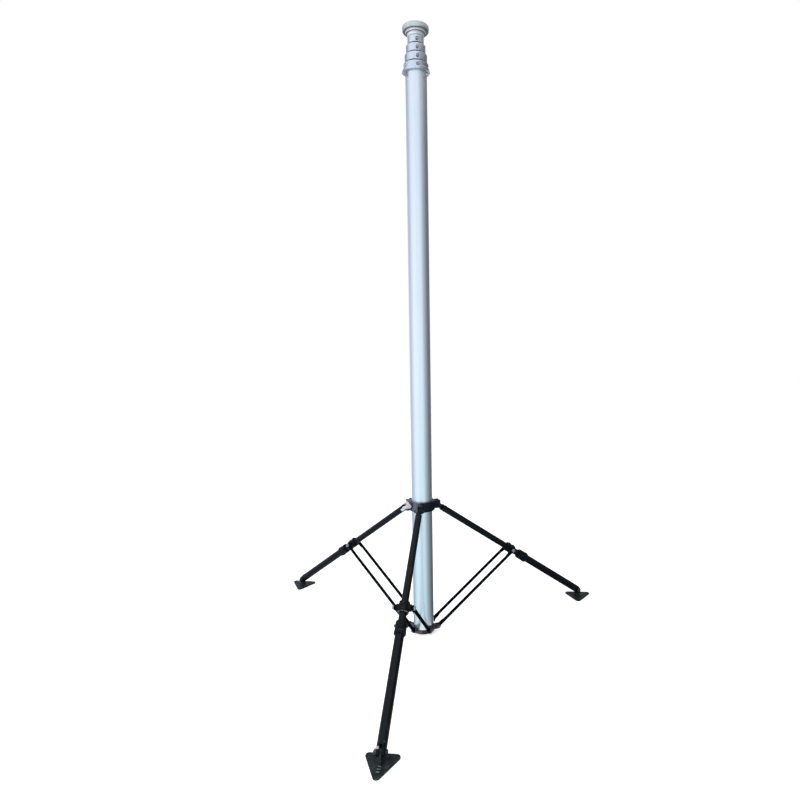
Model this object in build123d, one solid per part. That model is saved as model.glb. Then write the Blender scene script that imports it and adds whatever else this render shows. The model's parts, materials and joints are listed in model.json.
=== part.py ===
"""Portable telescopic radio mast on a folding tripod, shown collapsed and standing.

Axes: +Z up the mast, origin on the ground under the mast.  The front leg points along -Y.
All sizes are millimetres.
"""
from build123d import *
from math import acos, atan2, cos, degrees, hypot, radians, sin
import os

# ---- Driving dimensions ---------------------------------------------------------------
# Mast tubes, outermost first
BASE_TUBE_OD = 80.0
BASE_TUBE_WALL = 2.5
SECTION_STEP = 10.0          # each inner tube is this much smaller across
SECTION_WALL = 2.0
SECTION_COUNT = 4            # tubes inside the base tube
BASE_TUBE_TOP = 2156.0       # height of the base tube's top end
SECTION_FOOT = 45.0          # lowest end of the first inner tube
SECTION_FOOT_STEP = 8.0      # each further tube stops this much higher
# Collars, one round the top of each tube, outermost first
COLLAR_WALLS = (6.5, 6.5, 6.0, 5.0)      # round the tube that each one is fixed to
COLLAR_HEIGHTS = (30.0, 33.0, 32.5, 31.0)
COLLAR_RIM = 3.5             # how far the first collar's foot stands out
COLLAR_RIM_HEIGHT = 10.0
COLLAR_WAIST = 2.0           # how far the first collar draws in above its foot
COLLAR_HEAD_HEIGHT = 8.0     # first collar, above the waist
COLLAR_LIP = 10.0            # depth of the guide above the tube's end
COLLAR_EDGE = 1.6
GUIDE_CLEARANCE = 0.4        # radial, tube in the collar outside it
REST_GAP = 0.3               # between a collar and the one it rests on
LOCK_SCREW_DIA = 6.0
LOCK_SCREW_FLOOR = 1.0       # metal left under the screw's blind hole
LOCK_HEAD_DIA = 10.0
LOCK_HEAD_HEIGHT = 6.0
LOCK_TURN = 18.0             # lock screws' turn from the front, degrees
# Top cap
CAP_DISC_DIA = 98.0
CAP_DISC_HEIGHT = 20.0
CAP_STEP_DIA = 76.0          # step under the disc
CAP_STEP_HEIGHT = 7.5
CAP_NECK_WALL = 11.0         # round the last tube
CAP_NECK_HEIGHT = 11.0
# Guy ring under the first collar
GUY_RING_HEIGHT = 2.5
GUY_RING_WALL = 4.5
GUY_LUG_REACH = 18.0
GUY_LUG_HEIGHT = 17.0
GUY_TURN = 68.0              # from each leg round to the next guy lug, degrees
GUY_LUG_THICKNESS = 6.0
GUY_EYE_DIA = 9.0
# Base
BASE_RING_HEIGHT = 17.0
BASE_RING_WALL = 2.5
BASE_LUG_RISE = 9.0          # lugs' upper edge above the strut pivots
BASE_LUG_CORNER = 6.0
BASE_FLANGE = 4.0
BASE_GROOVE_HEIGHT = 28.5    # centre of the turned groove in the base tube
# Hub
HUB_HEIGHT = 37.0
HUB_DROP = 10.0              # hub's lower face below the leg pivots
HUB_PIVOT_HEIGHT = 500.0
HUB_WALL = 10.0
HUB_CLEARANCE = 0.3          # radial, on the base tube
HUB_PIVOT_OFFSET = 28.0      # leg pivots, out from the base tube
HUB_EAR_THICKNESS = 7.0
HUB_EAR_RADIUS = 9.0
HUB_EAR_REACH = 5.0          # ears' upper part beyond the leg pivots
HUB_EAR_RISE = 23.0          # ears' upper edge above the leg pivots
HUB_EAR_CORNER = 2.5
HUB_EDGE = 1.5
CLAMP_AZIMUTH = 210.0        # between the left leg and the front leg
CLAMP_WIDTH = 18.0           # across the clamp's two ears
CLAMP_EAR_REACH = 17.0       # beyond the hub's ring
CLAMP_EAR_HEIGHT = 29.0
CLAMP_BOLT_OFFSET = 9.0      # beyond the hub's ring
CLAMP_BOLT_RISE = 4.0        # above the hub's middle
CLAMP_SLIT = 3.0
WING_TIPS = ((22.0, -3.0), (10.0, 17.0))      # out and up from the clamp bolt
WING_BOSS_DIA = 15.0
WING_TIP_DIA = 9.0
# Legs
LEG_LENGTH = 816.0           # hub pivot to ankle pivot, as set
LEG_EXTENSION = 29.0         # how far the lower leg is drawn out, as set
UPPER_LEG_OD = 25.0
LEG_PLAY = 0.5               # radial, upper tube in the lower one
LEG_WALL = 2.0
LEG_END_GAP = 22.0           # hub pivot to the end of the upper tube
LEG_EYE_THICKNESS = 11.0
LEG_EYE_RADIUS = 10.0
LEG_PLUG = 22.0              # fitting's length inside the upper tube
KNEE_DISTANCE = 394.0        # hub pivot to knee pivot
KNEE_CLAMP_LENGTH = 40.0
KNEE_CLAMP_WALL = 6.0
KNEE_CLAMP_EDGE = 2.0
KNEE_BOSS_RADIUS = 12.0
SLEEVE_LENGTH = 44.0
SLEEVE_WALL = 5.0            # round the lower tube
ANKLE_SHOULDER = 14.0        # end of the lower tube to the ankle pivot
ANKLE_PLUG = 26.0            # fitting's length inside the lower tube
# Struts, a pair to each leg
STRUT_PIVOT_OFFSET = 10.0    # out from the base tube, in the leg's own plane
STRUT_PIVOT_HEIGHT = 20.0
STRUT_SPACING = 62.0         # between the two struts of a pair
STRUT_EYE_SPACING = 58.0     # between the flattened eyes at their ends
STRUT_OD = 11.4
STRUT_BOLT_DIA = 13.0        # bolt heads outside the knee ends
STRUT_BOLT_HEIGHT = 3.0
STRUT_EYE_RADIUS = 9.0
STRUT_EYE_THICKNESS = 8.0
STRUT_FLAT_WIDTH = 14.0
STRUT_FLAT_LENGTH = 24.0     # from each pivot to where the strut is round
BASE_EAR_THICKNESS = 3.0
# Feet
ANKLE_HEIGHT = 32.0
FOOT_THICKNESS = 5.0
FOOT_REACH = 65.0            # ankle to the plate's tip
FOOT_HEEL = 32.0             # ankle to the plate's back edge
FOOT_WIDTH = 99.0
FOOT_CORNER = 11.0
FOOT_FIN_THICKNESS = 6.0
FOOT_FIN_RADIUS = 10.0
FOOT_FIN_FEET = (-10.0, 18.0)     # where the fin's edges meet the plate
FOOT_RIB_HEIGHT = 1.5
FOOT_RIB_LENGTH = 9.0
FOOT_RIB_PLACES = (20.5, 30.5, 41.0)      # beyond the ankle
ANKLE_EYE_RADIUS = 12.0
ANKLE_WIDTH = 26.0
# Pins and small clearances
PIN_DIA = 8.0
PIN_FIT = 0.05               # radial, pin in its hole
PIN_HEAD = 2.0               # how far a pin's ends stand out
SIDE_GAP = 0.3               # between an eye and the ear beside it

LEG_AZIMUTHS = {"front": 270.0, "right": 30.0, "left": 150.0}

# ---- Worked out from the driving dimensions -------------------------------------------
BASE_RADIUS = BASE_TUBE_OD / 2
HUB_OUTER = BASE_RADIUS + HUB_WALL
HUB_PIVOT_RADIUS = BASE_RADIUS + HUB_PIVOT_OFFSET
CLAMP_HALF = CLAMP_WIDTH / 2
CLAMP_REACH = HUB_OUTER + CLAMP_EAR_REACH
CLAMP_BOLT_RADIUS = HUB_OUTER + CLAMP_BOLT_OFFSET
LEG_ANGLE = degrees(acos((HUB_PIVOT_HEIGHT - ANKLE_HEIGHT) / LEG_LENGTH))    # from the vertical
ANKLE_RADIUS = HUB_PIVOT_RADIUS + LEG_LENGTH * sin(radians(LEG_ANGLE))
KNEE_RADIUS = HUB_PIVOT_RADIUS + KNEE_DISTANCE * sin(radians(LEG_ANGLE))
KNEE_HEIGHT = HUB_PIVOT_HEIGHT - KNEE_DISTANCE * cos(radians(LEG_ANGLE))
STRUT_PIVOT_RADIUS = BASE_RADIUS + STRUT_PIVOT_OFFSET
STRUT_RUN = KNEE_RADIUS - STRUT_PIVOT_RADIUS
STRUT_RISE = KNEE_HEIGHT - STRUT_PIVOT_HEIGHT
STRUT_LENGTH = hypot(STRUT_RUN, STRUT_RISE)
STRUT_ANGLE = degrees(atan2(STRUT_RUN, STRUT_RISE))
STRUT_SIDE = STRUT_SPACING / 2
STRUT_EYE_SIDE = STRUT_EYE_SPACING / 2
KNEE_BOSS_WIDTH = STRUT_EYE_SPACING - STRUT_EYE_THICKNESS - 2 * SIDE_GAP
UPPER_LEG_ID = UPPER_LEG_OD - 2 * LEG_WALL
LOWER_LEG_ID = UPPER_LEG_OD + 2 * LEG_PLAY
LOWER_LEG_OD = LOWER_LEG_ID + 2 * LEG_WALL
PIN_RADIUS = PIN_DIA / 2

BOTTOM = (Align.CENTER, Align.CENTER, Align.MIN)


# ---- Small shape helpers --------------------------------------------------------------
def rod(radius, z0, z1):
    """A round bar along Z."""
    return Pos(0, 0, z0) * Cylinder(radius, z1 - z0, align=BOTTOM)


def tube(outer, inner, z0, z1):
    """A round tube along Z."""
    return rod(outer, z0, z1) - rod(inner, z0 - 1, z1 + 1)


def turned(*profile):
    """A solid of revolution about Z from (radius, height) corners."""
    return revolve(Plane.XZ * make_face(Polyline(*profile, close=True)), Axis.Z)


def cross_rod(radius, x, y0, y1, z):
    """A round bar along Y."""
    return Pos(x, y0, z) * Rot(-90, 0, 0) * Cylinder(radius, y1 - y0, align=BOTTOM)


def slab(x0, x1, y0, y1, z0, z1):
    """A box from its corners."""
    return Pos(x0, y0, z0) * Box(x1 - x0, y1 - y0, z1 - z0, align=(Align.MIN,) * 3)


def side_plate(outline, y0, y1):
    """Stand an outline drawn in X and height on edge, as a plate from y0 to y1."""
    return Pos(0, y1, 0) * Rot(90, 0, 0) * extrude(outline, y1 - y0)


def soft_corner(outline, radius):
    """Round the outline's outermost upper corner."""
    corner = max(outline.vertices(), key=lambda v: v.X + v.Y)
    return fillet([corner], radius)


def ear_outline(root, pin, height, radius, reach, top, corner):
    """Side view of an ear: square at its root and top, and rounded round the pin."""
    block = make_face(Polyline(
        (root, height - radius), (pin, height - radius), (pin, height), (pin + reach, height),
        (pin + reach, top), (root, top), close=True,
    ))
    return soft_corner(block, corner) + Pos(pin, height) * Circle(radius)


def along_leg(shape):
    """Place a shape made along +Z from the hub pivot so that it runs down the leg."""
    return Pos(HUB_PIVOT_RADIUS, 0, HUB_PIVOT_HEIGHT) * Rot(0, 180 - LEG_ANGLE, 0) * shape


def along_strut(shape):
    """Place a shape made along +Z from the base pivot so that it runs up the strut."""
    return Pos(STRUT_PIVOT_RADIUS, 0, STRUT_PIVOT_HEIGHT) * Rot(0, STRUT_ANGLE, 0) * shape


# ---- Mast -----------------------------------------------------------------------------
def tube_radius(k):
    """Outside radius of tube k, where tube 1 is the base tube."""
    return (BASE_TUBE_OD - (k - 1) * SECTION_STEP) / 2


def collar_top(k):
    """Height of collar k's top face."""
    return BASE_TUBE_TOP + COLLAR_LIP + sum(COLLAR_HEIGHTS[1:k]) + (k - 1) * REST_GAP


def collar_foot(k):
    """Height of collar k's lower face."""
    return collar_top(k) - COLLAR_HEIGHTS[k - 1]


def collar_radius(k):
    return tube_radius(k) + COLLAR_WALLS[k - 1]


def lock_face(k):
    """Radius that collar k's lock screw stands on."""
    return collar_radius(k) - (COLLAR_WAIST if k == 1 else 0)


def lock_seat(k):
    """Radius of the bottom of collar k's blind screw hole."""
    return tube_radius(k) + LOCK_SCREW_FLOOR


def base_tube():
    groove = tube(BASE_RADIUS + 1, BASE_RADIUS - 0.8, BASE_GROOVE_HEIGHT - 1, BASE_GROOVE_HEIGHT + 1)
    return tube(BASE_RADIUS, BASE_RADIUS - BASE_TUBE_WALL, BASE_FLANGE, BASE_TUBE_TOP) - groove


def section_tube(k):
    outer = tube_radius(k)
    foot = SECTION_FOOT + (k - 2) * SECTION_FOOT_STEP
    return tube(outer, outer - SECTION_WALL, foot, collar_top(k) - COLLAR_LIP)


def collar(k):
    """Turned collar: a seat for its own tube and a guide for the next one in."""
    seat = tube_radius(k)
    guide = tube_radius(k + 1) + GUIDE_CLEARANCE
    outer = collar_radius(k)
    top = collar_top(k)
    foot = collar_foot(k)
    shoulder = top - COLLAR_LIP
    edge = COLLAR_EDGE
    if k > 1:
        profile = [(seat, foot), (outer - edge, foot), (outer, foot + edge)]
    else:
        rim = outer + COLLAR_RIM
        rim_top = foot + COLLAR_RIM_HEIGHT
        waist = outer - COLLAR_WAIST
        head = top - COLLAR_HEAD_HEIGHT
        profile = [
            (seat, foot), (rim - edge, foot), (rim, foot + edge), (rim, rim_top - edge),
            (rim - edge, rim_top), (waist, rim_top), (waist, head - COLLAR_WAIST), (outer, head),
        ]
    profile += [(outer, top - edge), (outer - edge, top), (guide, top), (guide, shoulder), (seat, shoulder)]
    hole = cross_rod(LOCK_SCREW_DIA / 2 + PIN_FIT, 0, -outer - 1, -lock_seat(k), lock_height(k))
    return turned(*profile) - Rot(0, 0, LOCK_TURN) * hole


def lock_height(k):
    """Height of collar k's lock screw: its middle, or the middle of the first one's waist."""
    if k > 1:
        return (collar_foot(k) + collar_top(k)) / 2
    waist_top = collar_top(k) - COLLAR_HEAD_HEIGHT - COLLAR_WAIST
    return (collar_foot(k) + COLLAR_RIM_HEIGHT + waist_top) / 2


def lock_knob(k):
    """Thumb screw that locks the next tube in collar k, turned towards the front."""
    face = lock_face(k)
    height = lock_height(k)
    shank = cross_rod(LOCK_SCREW_DIA / 2, 0, -face - 3, -lock_seat(k) - 0.2, height)
    head = cross_rod(LOCK_HEAD_DIA / 2, 0, -face - LOCK_HEAD_HEIGHT, -face - SIDE_GAP, height)
    return Rot(0, 0, LOCK_TURN) * (shank + head)


def top_cap():
    """Turned head: a broad disc on a stepped neck that grips the last tube."""
    seat = tube_radius(SECTION_COUNT + 1)
    neck = seat + CAP_NECK_WALL
    disc = CAP_DISC_DIA / 2
    foot = collar_top(SECTION_COUNT) + REST_GAP
    seat_top = foot + CAP_NECK_HEIGHT
    under = seat_top + CAP_STEP_HEIGHT
    top = under + CAP_DISC_HEIGHT
    step = CAP_STEP_DIA / 2
    return turned(
        (0, seat_top), (seat, seat_top), (seat, foot), (neck - 1, foot), (neck, foot + 1),
        (neck, seat_top), (step - 1, seat_top), (step, seat_top + 1), (step, under),
        (disc - 1.5, under), (disc, under + 1.5), (disc, top - 3.5), (disc - 4, top), (0, top),
    )


def last_tube():
    k = SECTION_COUNT + 1
    outer = tube_radius(k)
    foot = SECTION_FOOT + (k - 2) * SECTION_FOOT_STEP
    head = collar_top(SECTION_COUNT) + REST_GAP + CAP_NECK_HEIGHT
    return tube(outer, outer - SECTION_WALL, foot, head)


def guy_ring():
    """Thin ring under the first collar, with an eyed lug hanging between each pair of legs."""
    top = collar_foot(1)
    foot = top - GUY_RING_HEIGHT
    half = GUY_LUG_THICKNESS / 2
    width = GUY_LUG_HEIGHT / 2
    reach = BASE_RADIUS + GUY_LUG_REACH
    middle = top - width
    lug = cross_rod(width, reach - width, -half, half, middle)
    lug += slab(BASE_RADIUS + 1, reach - width, -half, half, middle - width, top)
    lug -= cross_rod(GUY_EYE_DIA / 2, reach - width, -half - 1, half + 1, middle)
    ring = rod(BASE_RADIUS + GUY_RING_WALL, foot, top)
    for azimuth in LEG_AZIMUTHS.values():
        ring += Rot(0, 0, azimuth + GUY_TURN) * lug
    return ring - rod(BASE_RADIUS, foot - 1, top + 1)


# ---- Base -----------------------------------------------------------------------------
def base_cap():
    """Plug that closes the base tube, with a flange that stands on the ground."""
    plug = rod(BASE_RADIUS - BASE_TUBE_WALL, 0, BASE_RING_HEIGHT)
    return plug + rod(BASE_RADIUS, 0, BASE_FLANGE)


def base_ring():
    """Ring round the foot of the mast with a pinned fork for each strut."""
    eye_half = STRUT_EYE_THICKNESS / 2 + SIDE_GAP
    ear_half = eye_half + BASE_EAR_THICKNESS
    nose = STRUT_EYE_RADIUS
    root = STRUT_PIVOT_RADIUS - STRUT_EYE_RADIUS - 1
    top = STRUT_PIVOT_HEIGHT + BASE_LUG_RISE
    outline = ear_outline(BASE_RADIUS / 4, STRUT_PIVOT_RADIUS, STRUT_PIVOT_HEIGHT, nose, nose, top,
                          BASE_LUG_CORNER)
    fork = side_plate(outline, -ear_half, ear_half)
    fork -= slab(root, STRUT_PIVOT_RADIUS + 20, -eye_half, eye_half, 0, top + 1)
    pin_half = ear_half + PIN_HEAD
    fork += cross_rod(PIN_RADIUS, STRUT_PIVOT_RADIUS, -pin_half, pin_half, STRUT_PIVOT_HEIGHT)
    outer = BASE_RADIUS + BASE_RING_WALL
    ring = turned((1, 1), (outer - 1, 1), (outer, 2), (outer, BASE_RING_HEIGHT - 1),
                  (outer - 1, BASE_RING_HEIGHT), (1, BASE_RING_HEIGHT))
    for azimuth in LEG_AZIMUTHS.values():
        for side in (-STRUT_EYE_SIDE, STRUT_EYE_SIDE):
            ring += Rot(0, 0, azimuth) * Pos(0, side, 0) * fork
    return ring - rod(BASE_RADIUS, 0, top + 1)


# ---- Hub ------------------------------------------------------------------------------
def hub_ring():
    """Split clamp ring on the base tube, with a pinned fork for each leg."""
    foot = HUB_PIVOT_HEIGHT - HUB_DROP
    top = foot + HUB_HEIGHT
    middle = (foot + top) / 2
    eye_half = LEG_EYE_THICKNESS / 2 + SIDE_GAP
    ear_half = eye_half + HUB_EAR_THICKNESS
    outline = ear_outline(BASE_RADIUS / 2, HUB_PIVOT_RADIUS, HUB_PIVOT_HEIGHT, HUB_EAR_RADIUS,
                          HUB_EAR_REACH, HUB_PIVOT_HEIGHT + HUB_EAR_RISE, HUB_EAR_CORNER)
    ears = side_plate(outline, -ear_half, ear_half)
    slot = slab(HUB_OUTER + 4, HUB_PIVOT_RADIUS + 40, -eye_half, eye_half, foot - 5, top + 1)
    pin = cross_rod(PIN_RADIUS, HUB_PIVOT_RADIUS, -ear_half - PIN_HEAD, ear_half + PIN_HEAD,
                    HUB_PIVOT_HEIGHT)
    ring = turned((1, foot), (HUB_OUTER - HUB_EDGE, foot), (HUB_OUTER, foot + HUB_EDGE),
                  (HUB_OUTER, top - HUB_EDGE), (HUB_OUTER - HUB_EDGE, top), (1, top))
    clamp = Pos((BASE_RADIUS / 2 + CLAMP_REACH) / 2, middle) * Rectangle(
        CLAMP_REACH - BASE_RADIUS / 2, CLAMP_EAR_HEIGHT)
    clamp_ears = side_plate(soft_corner(clamp, HUB_EAR_CORNER), -CLAMP_HALF, CLAMP_HALF)
    ring += Rot(0, 0, CLAMP_AZIMUTH) * clamp_ears
    for azimuth in LEG_AZIMUTHS.values():
        ring += Rot(0, 0, azimuth) * ears
    for azimuth in LEG_AZIMUTHS.values():
        ring -= Rot(0, 0, azimuth) * slot
        ring += Rot(0, 0, azimuth) * pin
    slit = slab(0, CLAMP_REACH + 1, -CLAMP_SLIT / 2, CLAMP_SLIT / 2, foot - 5, top + 1)
    bolt_hole = cross_rod(PIN_RADIUS, CLAMP_BOLT_RADIUS, -CLAMP_HALF - 1, CLAMP_HALF + 1,
                          middle + CLAMP_BOLT_RISE)
    ring -= Rot(0, 0, CLAMP_AZIMUTH) * slit
    ring -= Rot(0, 0, CLAMP_AZIMUTH) * bolt_hole
    return ring - rod(BASE_RADIUS + HUB_CLEARANCE, foot - 5, top + 1)


def hub_clamp_bolt():
    """Bolt through the split ears with a nut at one side and a two-winged handle at the other."""
    height = HUB_PIVOT_HEIGHT - HUB_DROP + HUB_HEIGHT / 2 + CLAMP_BOLT_RISE
    shank = cross_rod(PIN_RADIUS, CLAMP_BOLT_RADIUS, -CLAMP_HALF - 4, CLAMP_HALF + 4, height)
    nut = Pos(CLAMP_BOLT_RADIUS, -CLAMP_HALF, height) * Rot(90, 0, 0) * extrude(
        RegularPolygon(WING_BOSS_DIA / 2, 6), 6)
    boss = cross_rod(WING_BOSS_DIA / 2, CLAMP_BOLT_RADIUS, CLAMP_HALF, CLAMP_HALF + 10, height)
    handle = shank + nut + boss
    root = Pos(CLAMP_BOLT_RADIUS, height) * Circle(WING_BOSS_DIA / 2 - 1)
    for out, up in WING_TIPS:
        tip = Pos(CLAMP_BOLT_RADIUS + out, height + up) * Circle(WING_TIP_DIA / 2)
        outline = make_hull([*root.edges(), *tip.edges()])
        handle += side_plate(outline, CLAMP_HALF + 3, CLAMP_HALF + 9)
    return Rot(0, 0, CLAMP_AZIMUTH) * handle


# ---- Legs -----------------------------------------------------------------------------
KNEE_CLAMP_END = KNEE_DISTANCE + KNEE_CLAMP_LENGTH / 2
SLEEVE_TOP = KNEE_CLAMP_END + LEG_EXTENSION
LOWER_LEG_TOP = SLEEVE_TOP + 8.0
LOWER_LEG_END = LEG_LENGTH - ANKLE_SHOULDER
UPPER_LEG_END = LOWER_LEG_END - ANKLE_PLUG - LEG_EXTENSION - 4.0


def leg_end():
    """Eye fitting at the top of the leg: a flat tongue on a plug in the tube."""
    half = LEG_EYE_THICKNESS / 2
    eye = cross_rod(LEG_EYE_RADIUS, 0, -half, half, 0)
    tongue = slab(-LEG_EYE_RADIUS, LEG_EYE_RADIUS, -half, half, 0, LEG_END_GAP - 4)
    flange = rod(UPPER_LEG_OD / 2, LEG_END_GAP - 4, LEG_END_GAP)
    plug = rod(UPPER_LEG_ID / 2, LEG_END_GAP, LEG_END_GAP + LEG_PLUG)
    hole = cross_rod(PIN_RADIUS + PIN_FIT, 0, -half - 1, half + 1, 0)
    return along_leg(eye + tongue + flange + plug - hole)


def upper_leg():
    return along_leg(tube(UPPER_LEG_OD / 2, UPPER_LEG_ID / 2, LEG_END_GAP, UPPER_LEG_END))


def knee_clamp():
    """Clamp fixed round the upper tube, with a cross boss that meets the struts' eyes."""
    top = KNEE_DISTANCE - KNEE_CLAMP_LENGTH / 2
    foot = KNEE_DISTANCE + KNEE_CLAMP_LENGTH / 2
    seat = UPPER_LEG_OD / 2
    outer = seat + KNEE_CLAMP_WALL
    edge = KNEE_CLAMP_EDGE
    body = turned((1, top), (outer - edge, top), (outer, top + edge), (outer, foot - edge),
                  (outer - edge, foot), (1, foot))
    half = KNEE_BOSS_WIDTH / 2
    body += cross_rod(KNEE_BOSS_RADIUS, 0, -half, half, KNEE_DISTANCE)
    return along_leg(body - rod(seat, 0, LEG_LENGTH))


def lower_leg():
    return along_leg(tube(LOWER_LEG_OD / 2, LOWER_LEG_ID / 2, LOWER_LEG_TOP, LOWER_LEG_END))


def lock_sleeve():
    """Sleeve at the top of the lower tube that grips the upper one, with a ring at its foot."""
    foot = SLEEVE_TOP + SLEEVE_LENGTH
    seat = LOWER_LEG_OD / 2
    outer = seat + SLEEVE_WALL
    bore = UPPER_LEG_OD / 2 + GUIDE_CLEARANCE
    return along_leg(turned(
        (bore, SLEEVE_TOP), (outer - 3, SLEEVE_TOP), (outer - 1, SLEEVE_TOP + 3), (outer - 1, foot - 17),
        (outer - 3, foot - 16), (outer - 3, foot - 13), (outer, foot - 12), (outer, foot - 2),
        (outer - 2, foot), (seat, foot), (seat, LOWER_LEG_TOP), (bore, LOWER_LEG_TOP),
    ))


def ankle_block():
    """Slotted end of the leg, as wide as the tube, on a plug inside it."""
    half = ANKLE_WIDTH / 2
    slot_half = FOOT_FIN_THICKNESS / 2 + SIDE_GAP
    end = rod(LOWER_LEG_OD / 2, LOWER_LEG_END, LEG_LENGTH - 6)
    end += slab(-ANKLE_EYE_RADIUS, ANKLE_EYE_RADIUS, -half, half, LOWER_LEG_END, LEG_LENGTH)
    end += cross_rod(ANKLE_EYE_RADIUS, 0, -half, half, LEG_LENGTH)
    end &= rod(LOWER_LEG_OD / 2, LOWER_LEG_END, LEG_LENGTH + ANKLE_EYE_RADIUS)
    end -= slab(-LOWER_LEG_OD, LOWER_LEG_OD, -slot_half, slot_half, LOWER_LEG_END, LEG_LENGTH + 30)
    end -= cross_rod(PIN_RADIUS + PIN_FIT, 0, -half - 1, half + 1, LEG_LENGTH)
    return along_leg(end + rod(LOWER_LEG_ID / 2, LOWER_LEG_END - ANKLE_PLUG, LOWER_LEG_END))


# ---- Struts and feet ------------------------------------------------------------------
def strut_pair():
    """The two struts of one leg: round bars with a flat eye at each end, bolted at the knee."""
    half = STRUT_EYE_THICKNESS / 2
    flat = STRUT_FLAT_WIDTH / 2
    struts = []
    for side in (-1, 1):
        middle = side * STRUT_EYE_SIDE
        low, high = middle - half, middle + half
        bar = Pos(0, side * STRUT_SIDE, 0) * rod(STRUT_OD / 2, STRUT_FLAT_LENGTH,
                                                 STRUT_LENGTH - STRUT_FLAT_LENGTH)
        for end, inward in ((0, 1), (STRUT_LENGTH, -1)):
            bar += cross_rod(STRUT_EYE_RADIUS, 0, low, high, end)
            reach = end + inward * (STRUT_FLAT_LENGTH + 3)
            bar += slab(-flat, flat, low, high, min(end, reach), max(end, reach))
        outside = middle + side * half
        tip = outside + side * STRUT_BOLT_HEIGHT
        bar += cross_rod(STRUT_BOLT_DIA / 2, 0, min(outside, tip), max(outside, tip), STRUT_LENGTH)
        bar -= cross_rod(PIN_RADIUS + PIN_FIT, 0, low - 1, high + 1, 0)
        struts.append(along_strut(bar))
    return struts


def foot_plate():
    """Rounded triangular plate with its point outwards, and a fin pinned in the ankle's slot."""
    radius = FOOT_CORNER
    back, side = radius - FOOT_HEEL, FOOT_WIDTH / 2 - radius
    corners = [Pos(x, y) * Circle(radius) for x, y in (
        (FOOT_REACH - radius, 0), (back, side), (back, -side))]
    foot = extrude(make_hull([edge for corner in corners for edge in corner.edges()]), FOOT_THICKNESS)
    heel, toe = FOOT_FIN_FEET
    base = Pos((heel + toe) / 2, 2) * Rectangle(toe - heel, 2)
    eye = Pos(0, ANKLE_HEIGHT) * Circle(FOOT_FIN_RADIUS)
    half = FOOT_FIN_THICKNESS / 2
    foot += side_plate(make_hull([*base.edges(), *eye.edges()]), -half, half)
    pin_half = ANKLE_WIDTH / 2 + PIN_HEAD
    foot += cross_rod(PIN_RADIUS, 0, -pin_half, pin_half, ANKLE_HEIGHT)
    half = FOOT_RIB_LENGTH / 2
    for x in FOOT_RIB_PLACES:
        foot += slab(x - 1.5, x + 1.5, -half, half, FOOT_THICKNESS - 1, FOOT_THICKNESS + FOOT_RIB_HEIGHT)
    return Pos(ANKLE_RADIUS, 0, 0) * foot


# ---- Build and write ------------------------------------------------------------------
def write(name, shape):
    solids = shape.solids() if hasattr(shape, "solids") else [s for item in shape for s in item.solids()]
    export_step(solids[0] if len(solids) == 1 else Compound(children=list(solids)), f"parts/{name}.step")


def main():
    os.makedirs("parts", exist_ok=True)
    write("base_cap", base_cap())
    write("base_ring", base_ring())
    write("base_tube", base_tube())
    write("guy_ring", guy_ring())
    for k in range(1, SECTION_COUNT + 1):
        write(f"collar_{k}", collar(k))
        write(f"lock_knob_{k}", lock_knob(k))
        if k > 1:
            write(f"section_tube_{k}", section_tube(k))
    write(f"section_tube_{SECTION_COUNT + 1}", last_tube())
    write("top_cap", top_cap())
    write("hub_ring", hub_ring())
    write("hub_clamp_bolt", hub_clamp_bolt())
    leg_pieces = {
        "leg_end": leg_end(), "upper_leg": upper_leg(), "knee_clamp": knee_clamp(),
        "lower_leg": lower_leg(), "lock_sleeve": lock_sleeve(), "ankle_block": ankle_block(),
        "foot_plate": foot_plate(),
    }
    struts = strut_pair()
    for side, azimuth in LEG_AZIMUTHS.items():
        turn = Rot(0, 0, azimuth)
        for name, shape in leg_pieces.items():
            write(f"{name}_{side}", turn * shape)
        write(f"struts_{side}", [turn * strut for strut in struts])


main()
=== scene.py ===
"""Looks for the portable telescopic mast: a Blender add-on layout run as a script."""

import json
import math

import bmesh
import bpy
from bpy.props import FloatProperty, FloatVectorProperty, PointerProperty
from mathutils import Matrix, Vector


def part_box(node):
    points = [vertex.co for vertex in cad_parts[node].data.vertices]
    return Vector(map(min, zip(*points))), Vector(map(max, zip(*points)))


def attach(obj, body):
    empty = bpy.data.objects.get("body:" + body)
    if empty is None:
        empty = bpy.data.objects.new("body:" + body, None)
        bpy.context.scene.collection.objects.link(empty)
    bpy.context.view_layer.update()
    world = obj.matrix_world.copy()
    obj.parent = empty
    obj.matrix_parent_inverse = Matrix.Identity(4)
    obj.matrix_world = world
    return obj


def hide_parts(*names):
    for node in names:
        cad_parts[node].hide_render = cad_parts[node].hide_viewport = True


bl_info = {
    "name": "Telescopic Mast",
    "version": (1, 0, 0),
    "blender": (4, 5, 0),
    "location": "View3D > Sidebar > Mast",
    "description": "Builds the finished mast, its folding tripod and the studio around it",
    "category": "Object",
}

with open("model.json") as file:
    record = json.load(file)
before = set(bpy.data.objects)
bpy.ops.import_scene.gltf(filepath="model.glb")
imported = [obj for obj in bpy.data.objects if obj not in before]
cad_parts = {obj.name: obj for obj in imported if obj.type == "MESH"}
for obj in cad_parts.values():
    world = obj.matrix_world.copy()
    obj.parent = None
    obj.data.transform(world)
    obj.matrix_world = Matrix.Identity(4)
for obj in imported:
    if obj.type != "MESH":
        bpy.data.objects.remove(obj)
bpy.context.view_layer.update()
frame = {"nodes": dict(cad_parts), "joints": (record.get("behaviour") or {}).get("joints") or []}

MM = 0.001
MICRON = 0.000001
TINY = 1e-6  # a length that counts as none
JOINTS = {joint["name"]: joint for joint in frame["joints"]}
SIDES = ("front", "right", "left")


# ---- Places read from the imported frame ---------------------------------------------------
def low(node):
    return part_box(node)[0] / MM


def high(node):
    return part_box(node)[1] / MM


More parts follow.
